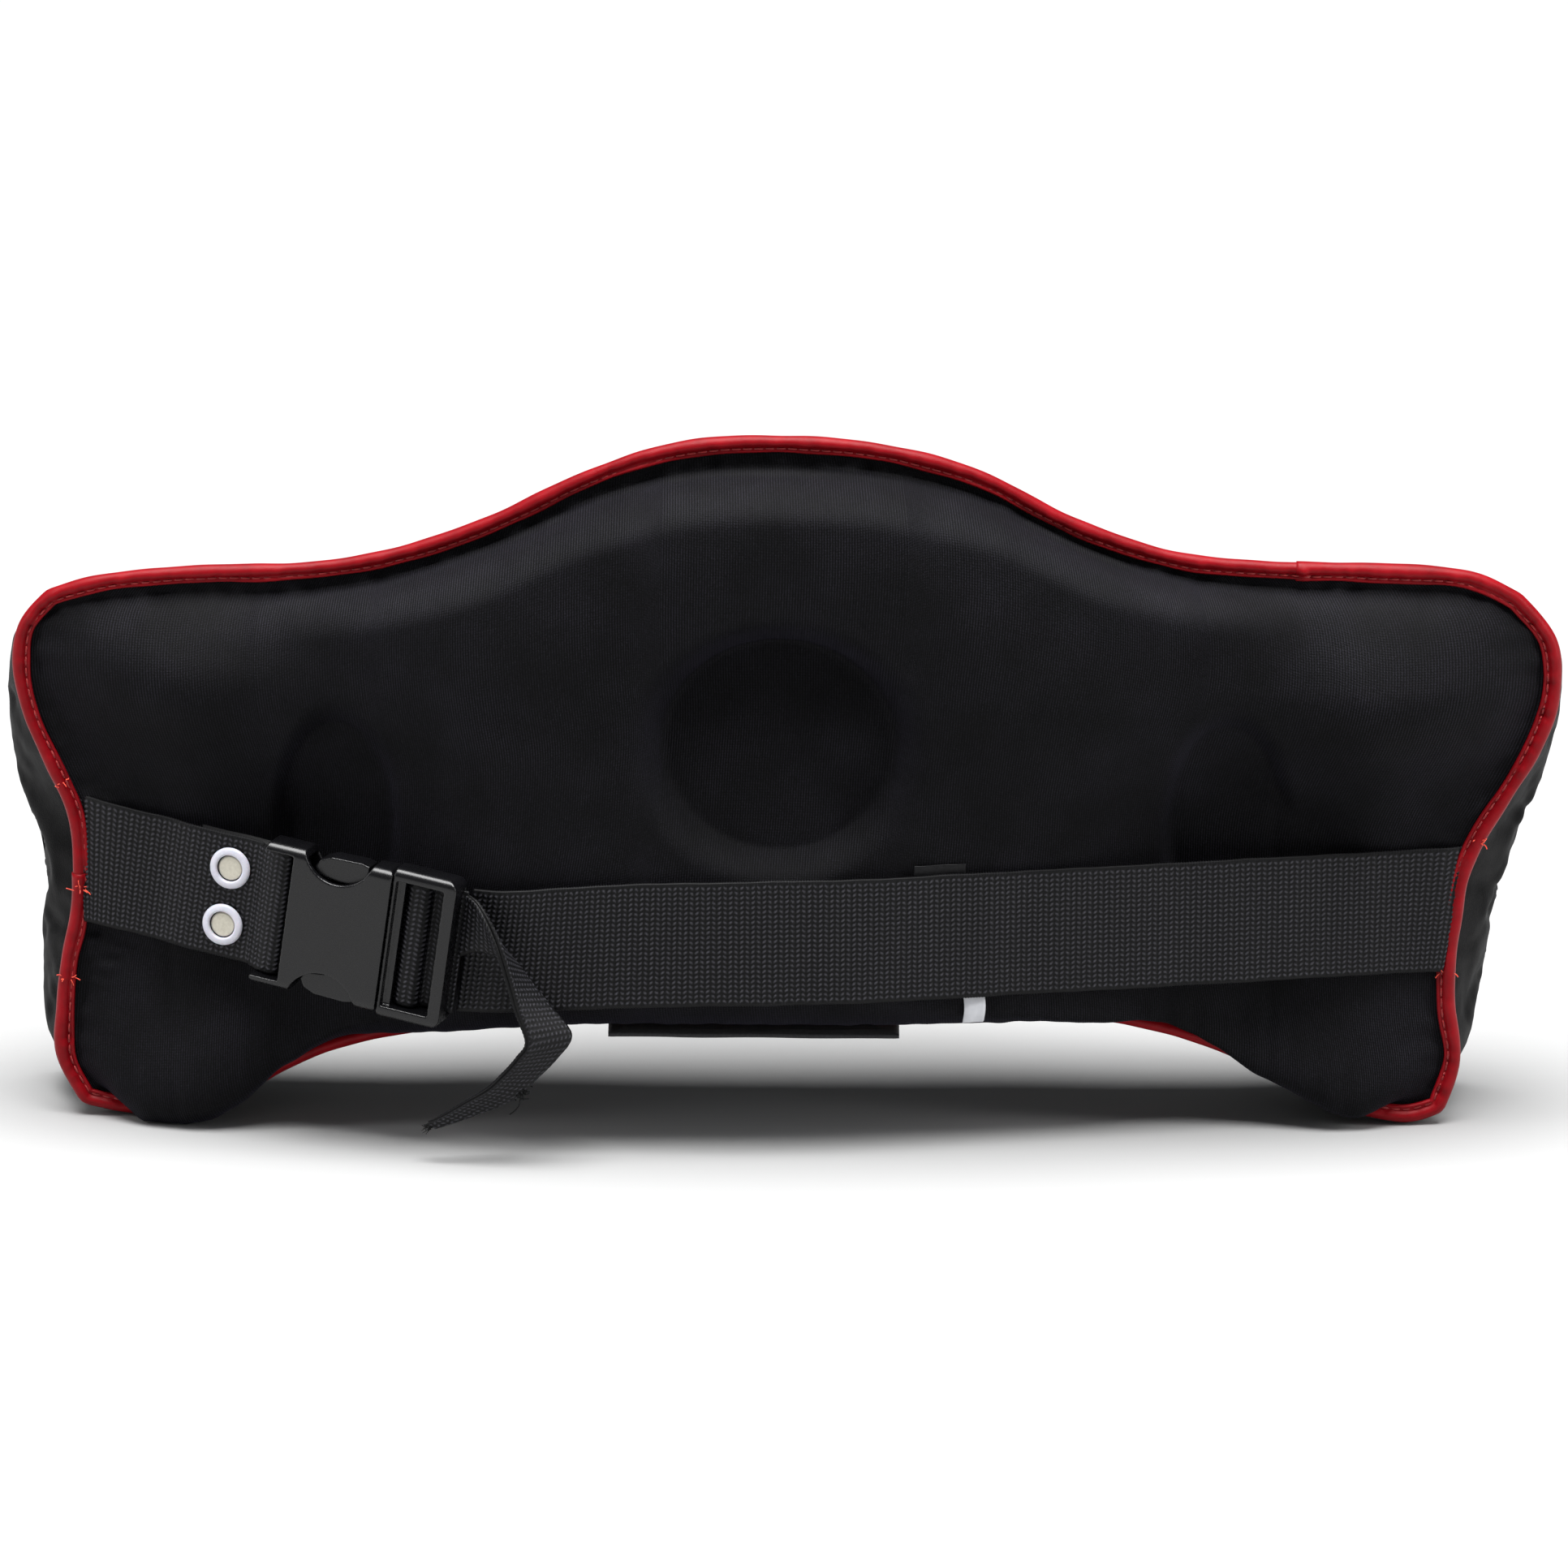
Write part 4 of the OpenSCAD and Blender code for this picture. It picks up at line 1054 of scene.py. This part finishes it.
def add_straps():
    turn = BAR_R + 0.2 + STRAP_T / 2
    stub = [[-60.5, 0.1], [-57, 0.8], [-52, 1.4], [-46, 1.5], [-34, 1.5], [-24, 3.0], [-5.6, 3.1],
            [-2, 4.8], [1.6, 7.1]]
    stub += [[BAR_AT[0] + turn * math.cos(t), BAR_AT[1] + turn * math.sin(t)]
             for t in np.radians(np.arange(100, -101, -20))]
    stub += [[-2, 1.4], [-10, 1.25], [-24, 1.2]]
    add_band("strap_left", stub, "cushion", wave=0.12, skew=(-0.22, 0))
    low, (near, far) = 1.2, BAR_X
    loop = [[FRAME_END - 0.4, low], [far + 1, low], [near + 0.6, low + 0.1], [near - 0.9, 2.4],
            [near - 1.0, 4.8], [near - 0.9, 6.4], [near + 0.4, 7.45], [far - 0.4, 7.45],
            [far + 0.9, 6.4], [far + 1.1, 4.8], [far + 2.2, 3.5], [OUTER_BAR_X - 0.5, 3.2],
            [FRAME_END + 1.5, 3.2]]
    add_band("strap_loop", loop, "insert")
    middle = place(LONG_STRAP[::-1, :3])
    across = ACROSS * [1, 1, 0] * LONG_STRAP[::-1, 3:] + [0, 0, 1]
    both = curved(np.concatenate([middle, across], 1), 0.5)
    build = webbing(both[:, :3], both[:, 3:], wave=0.18, skew=(0, 0.19))
    strap = build.make("strap_right_webbing", LOOK["webbing"])
    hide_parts("strap_right")
    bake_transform(strap)


TAIL_EDGES = np.array([     # near edge and far edge, [x, depth, z], as in the CAD
    [[-91.8, 46.1, 80], [-94, 45.1, 62.5]],
    [[-89, 50, 78.5], [-89.8, 47.2, 64]],
    [[-86, 54, 74], [-84.8, 48.5, 63.5]],
    [[-83, 57, 67], [-79.5, 48.5, 61]],
    [[-80, 58.5, 57.5], [-74.5, 48.8, 54.5]],
    [[-77.5, 59, 48.5], [-68, 49.5, 46.5]],
    [[-74.5, 58.5, 38.5], [-62.5, 51, 39]],
    [[-77.5, 57.8, 33], [-66, 52, 33]],
    [[-82, 57, 27.5], [-72, 52, 26.5]],
    [[-86.5, 56, 23], [-77.5, 52, 21]],
    [[-93.5, 54.5, 18.5], [-87, 52, 16.5]],
    [[-99, 53.5, 15], [-95, 52, 13]],
    [[-103.5, 52.5, 12.5], [-101.5, 52, 10.5]]], float)


def tail_section(count=40, ply=1.05, slit=0.12):
    """Rows of [share of the width, height, how woven]: the face layer out to the fold, the back
    layer home, then the slit between them."""
    face = np.linspace(0, 1, count)
    high = ply + slit
    rows = [(f, high, 1.0) for f in face]
    rows += [(1 + 0.09 * math.cos(t), high * math.sin(t), 0.5)
             for t in np.radians(np.linspace(90, -90, 9)[1:-1])]
    rows += [(f, -high, 1.0) for f in face[::-2]]
    rows += [(0.0, -slit, 0.0), (0.5, -slit, 0.0), (0.93, 0.0, 0.0), (0.5, slit, 0.0), (0.0, slit, 0.0)]
    return np.array(rows)


def add_tuft(fray, root, spread, aim, count, lengths, radius):
    """Short curled yarns that start round the root and head for aim."""
    for _ in range(count):
        start = root + RNG.normal(0, 1, 3) * spread
        way = unit(aim + RNG.normal(0, 0.35, 3))
        curl = RNG.normal(0, 0.5, 3)
        f = np.linspace(0, 1, 7)[:, None]
        long = RNG.uniform(*lengths)
        fray.tube(start + (way * f + curl * f ** 2 * 0.5) * long, radius * np.linspace(1, 0.6, 7), 5)


def add_tail():
    """The free end, folded double lengthwise, with its frayed tip."""
    both = curved(place(TAIL_EDGES).reshape(-1, 6), 0.45)
    near, far = both[:, :3], both[:, 3:]
    s = arc((near + far) / 2)
    ahead = np.gradient((near + far) / 2, axis=0)
    up = unit(np.cross(far - near, ahead))
    share, high, woven = tail_section().T[:, None]
    v = share * reach(far - near)[:, None]
    u = s[:, None] + 0 * v
    selvedge = 0.45 + 0.45 * np.sin(2 * math.pi * u / 1.3)
    beads = np.where((share < 0.06) & (woven > 0), selvedge, weave(u, v) * woven)
    taper = 1 - 0.35 * smooth((s / s[-1] - 0.62) / 0.38)[:, None]
    rise = high * taper + np.sign(high) * (woven > 0) * (beads - 0.5) * 0.24
    crumple = 0.35 * waves(u, v, 71, (9, 14, 21)) * smooth((u - s[-1] * 0.6) / 15)
    middle = lerp(near[:, None], far[:, None], share[..., None])
    rings = middle + up[:, None] * (rise + crumple)[..., None]
    Build().band(rings, np.stack([u, v], -1), beads).settle(
        "strap_tail_webbing", "webbing", "insert", "webbing", "strap_tail")
    # Frayed yarns at the cut end, a torn tuft beside it and one loose thread.
    fray = Build()
    add_tuft(fray, lerp(near[-1], far[-1], 0.5), 0.55, unit(ahead[-1]), 46, (0.8, 2.6), 0.14)
    tear = lerp(near, far, 0.95)[int(len(near) * 0.73)]
    add_tuft(fray, tear, 1.0, np.array([0.85, -0.2, -0.35]), 44, (0.8, 2.2), 0.24)
    f = np.linspace(0, 1, 12)[:, None]
    bend = np.array([-3.4, 0, 0]) * f ** 3
    fray.tube(tear + [0, -0.4, -1.2] + np.array([0.3, -0.2, -6.0]) * f + bend, 0.18)
    fray.settle("strap_tail_fray", "webbing", "insert", "webbing")


# ---- rivets, buckle and small parts

RIVET_X, RIVET_PITCH = -12.6, 17.6
RIVET_BASE = 3.95
# Closed outlines of [radius, height], turned about the rivet's axis.
RING = [(4.05, 0.0), (4.0, 0.6), (4.15, 1.15), (4.6, 1.35), (5.3, 1.28), (5.9, 1.02), (6.25, 0.55),
        (6.2, 0.1), (5.4, -0.02), (4.6, -0.02)]
CAP = [(0.02, 0.36), (1.6, 0.35), (2.9, 0.32), (3.4, 0.26), (3.66, 0.12), (3.7, 0.02), (3.6, 0.0),
       (1.8, 0.0), (0.02, 0.0)]
BACK = [(0.02, -0.1), (3.8, -0.1), (4.8, -0.12), (5.0, -0.3), (4.7, -0.48), (0.02, -0.5)]


def lathe(build, profile, along, across, sides=72):
    turn = np.linspace(0, 2 * math.pi, sides, endpoint=False)[:, None]
    r, up = profile.T
    points = at_buckle(along + r * np.cos(turn), across + r * np.sin(turn), up)
    build.grid(np.concatenate([points, points[:1]]), wrap=True)


def weld(piece, reach_mm):
    piece.modifiers.new("weld", "WELD").merge_threshold = reach_mm * MM


def add_rivets():
    for name, knots, base, look, slot in (
            ("rivet_rings", RING, RIVET_BASE, "ring", "ring_plastic"),
            ("rivet_caps", CAP, RIVET_BASE, "nickel", "rivet_metal"),
            ("rivet_backs", BACK, 0.0, "nickel", "rivet_metal")):
        closed = spline(np.array(knots + knots[:1]), np.linspace(0, 1, 60 * len(knots)))
        profile = resample(closed, 0.12)[:-1] + [0, base]
        build = Build()
        for side in (-1, 1):
            lathe(build, profile, RIVET_X, side * RIVET_PITCH / 2)
        weld(build.settle(name + "_turned", look, "cushion", slot, name), 0.02)


BUCKLE_CELLS = {"buckle_socket": 0.31, "buckle_insert": 0.29, "prong_upper": 0.22, "prong_lower": 0.22}


def dress_buckle():
    """The CAD's buckle stays. Its edges are rounded as moulded plastic's are."""
    for name, cell in BUCKLE_CELLS.items():
        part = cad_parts[name]
        part.data.materials.clear()
        part.data.materials.append(LOOK["buckle"])
        weld(part, 0.01)
        cells = part.modifiers.new("cells", "REMESH")
        cells.mode = "VOXEL"
        cells.voxel_size = cell * MM
        cells.use_smooth_shade = True
        relax = part.modifiers.new("relax", "SMOOTH")
        relax.factor, relax.iterations = 0.5, 9


FLAP_X, FLAP_W, FLAP_L, FLAP_T, FLAP_TOP, FLAP_REAR = -8, 86, 27, 2, 32.4, 24
TAPE_W, TAPE_L, TAPE_REAR = 78, 10, 8


def flap_points(a, b, width, long, rear):
    """x and y of shares a and b of a rectangle in the flap's plane."""
    return FLAP_X + (a - 0.5) * width, DEPTH_ZERO - rear + b * long


def add_tape(name, look, slot, body, low, high, low_rough, high_rough, seed):
    """One strip of hook or loop tape from height low to high, rough on one side."""
    a, b = share_grid(200, 26)
    x, y = flap_points(a, b, TAPE_W, TAPE_L, TAPE_REAR)
    rough = 0.5 + 0.5 * waves(x, y, seed, (1.3, 1.7, 2.3, 3.1))
    up, down = high - high_rough * rough, low + low_rough * rough
    flat = np.stack([a * TAPE_W, b * TAPE_L], -1)
    build = Build().slab(np.stack([x, y, up], -1), np.stack([x, y, down], -1), flat)
    build.settle(name + "_strip", look, body, slot, name)


def add_flap():
    """The cloth flap under the bottom opening, hemmed, with its hook and loop tapes."""
    a, b = share_grid(130, 44)
    x, y = flap_points(a, b, FLAP_W, FLAP_L, FLAP_REAR)
    edge = np.minimum(np.minimum(a, 1 - a) * FLAP_W, b * FLAP_L)
    hem = smooth(edge / 1.2) * (1 - 0.35 * bell(edge - 4.5, 0.5))
    sag = 0.35 * waves(x, y, 81, (31, 44, 67)) * smooth(edge / 4 + 0.2) * smooth((1 - b) * 3)
    thick = FLAP_T / 2 * (0.55 + 0.45 * hem)
    middle = FLAP_TOP - FLAP_T / 2 + sag
    outer = np.stack([x, y, middle - thick], -1)
    inner = np.stack([x, y, np.minimum(middle + thick, FLAP_TOP)], -1)
    build = Build().slab(inner, outer, np.stack([a * FLAP_W, b * FLAP_L], -1))
    flap = build.settle("closing_flap_cloth", "cloth", "flap", "flap_cloth", "closing_flap")
    stitches = Build()
    stitch_row(stitches, outer[4:-4, 7], np.zeros((len(outer) - 8, 3)) - [0, 0, 1])
    stitches.settle("flap_hem_stitching", "black_thread", "flap", "flap_cloth")
    add_tape("loop_tape", "pile", "loop_pile", "flap", FLAP_TOP, FLAP_TOP + 0.8, 0, 0.25, 82)
    add_tape("hook_tape", "hooks", "hook_plastic", "cushion", FLAP_TOP + 0.9, FLAP_TOP + 2.1, 0.3, 0, 83)


def add_labels():
    """A small white label folded double under the strap, and a small black one above it."""
    low, high = (np.array(corner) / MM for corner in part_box("care_label"))
    t = np.linspace(0, 1, 40)
    drop = high[2] - low[2]
    curl = np.stack([0.5 * np.sin(t * math.pi), -0.9 * np.sin(t * math.pi * 0.9), -drop * t * 0.97], -1)
    line = np.concatenate([curl, curl[::-1] + [0.3, 0.55, 0.15]]) + [0, low[1], high[2]]
    a = np.linspace(low[0], high[0], 16)
    points = line[None] + np.stack([a, 0.12 * np.sin(a), 0.05 * (a - low[0])], -1)[:, None]
    flat = np.stack(np.broadcast_arrays(a[:, None], arc(line)[None]), -1)
    Build().slab(points + [0, 0.14, 0], points, flat).settle(
        "care_label_white", "label", "cushion", "label_white", "care_label")

    low, high = (np.array(corner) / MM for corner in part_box("blank_tag"))
    a, b = share_grid(40, 16)
    rear = lerp(low[1] + 0.4, high[1], a) - 0.25 * np.sin(a * 9) * b
    points = np.stack([lerp(low[0], high[0], a), rear, lerp(low[2], high[2], b)], -1)
    Build().slab(points, points + [0, 0.22, 0], np.stack([a * 15, b * 5.4], -1)).settle(
        "black_tag_satin", "tag", "cushion", "label_black", "blank_tag")


add_back()
add_foam()
add_cover()
add_binding()
add_straps()
add_tail()
add_rivets()
dress_buckle()
add_flap()
add_labels()
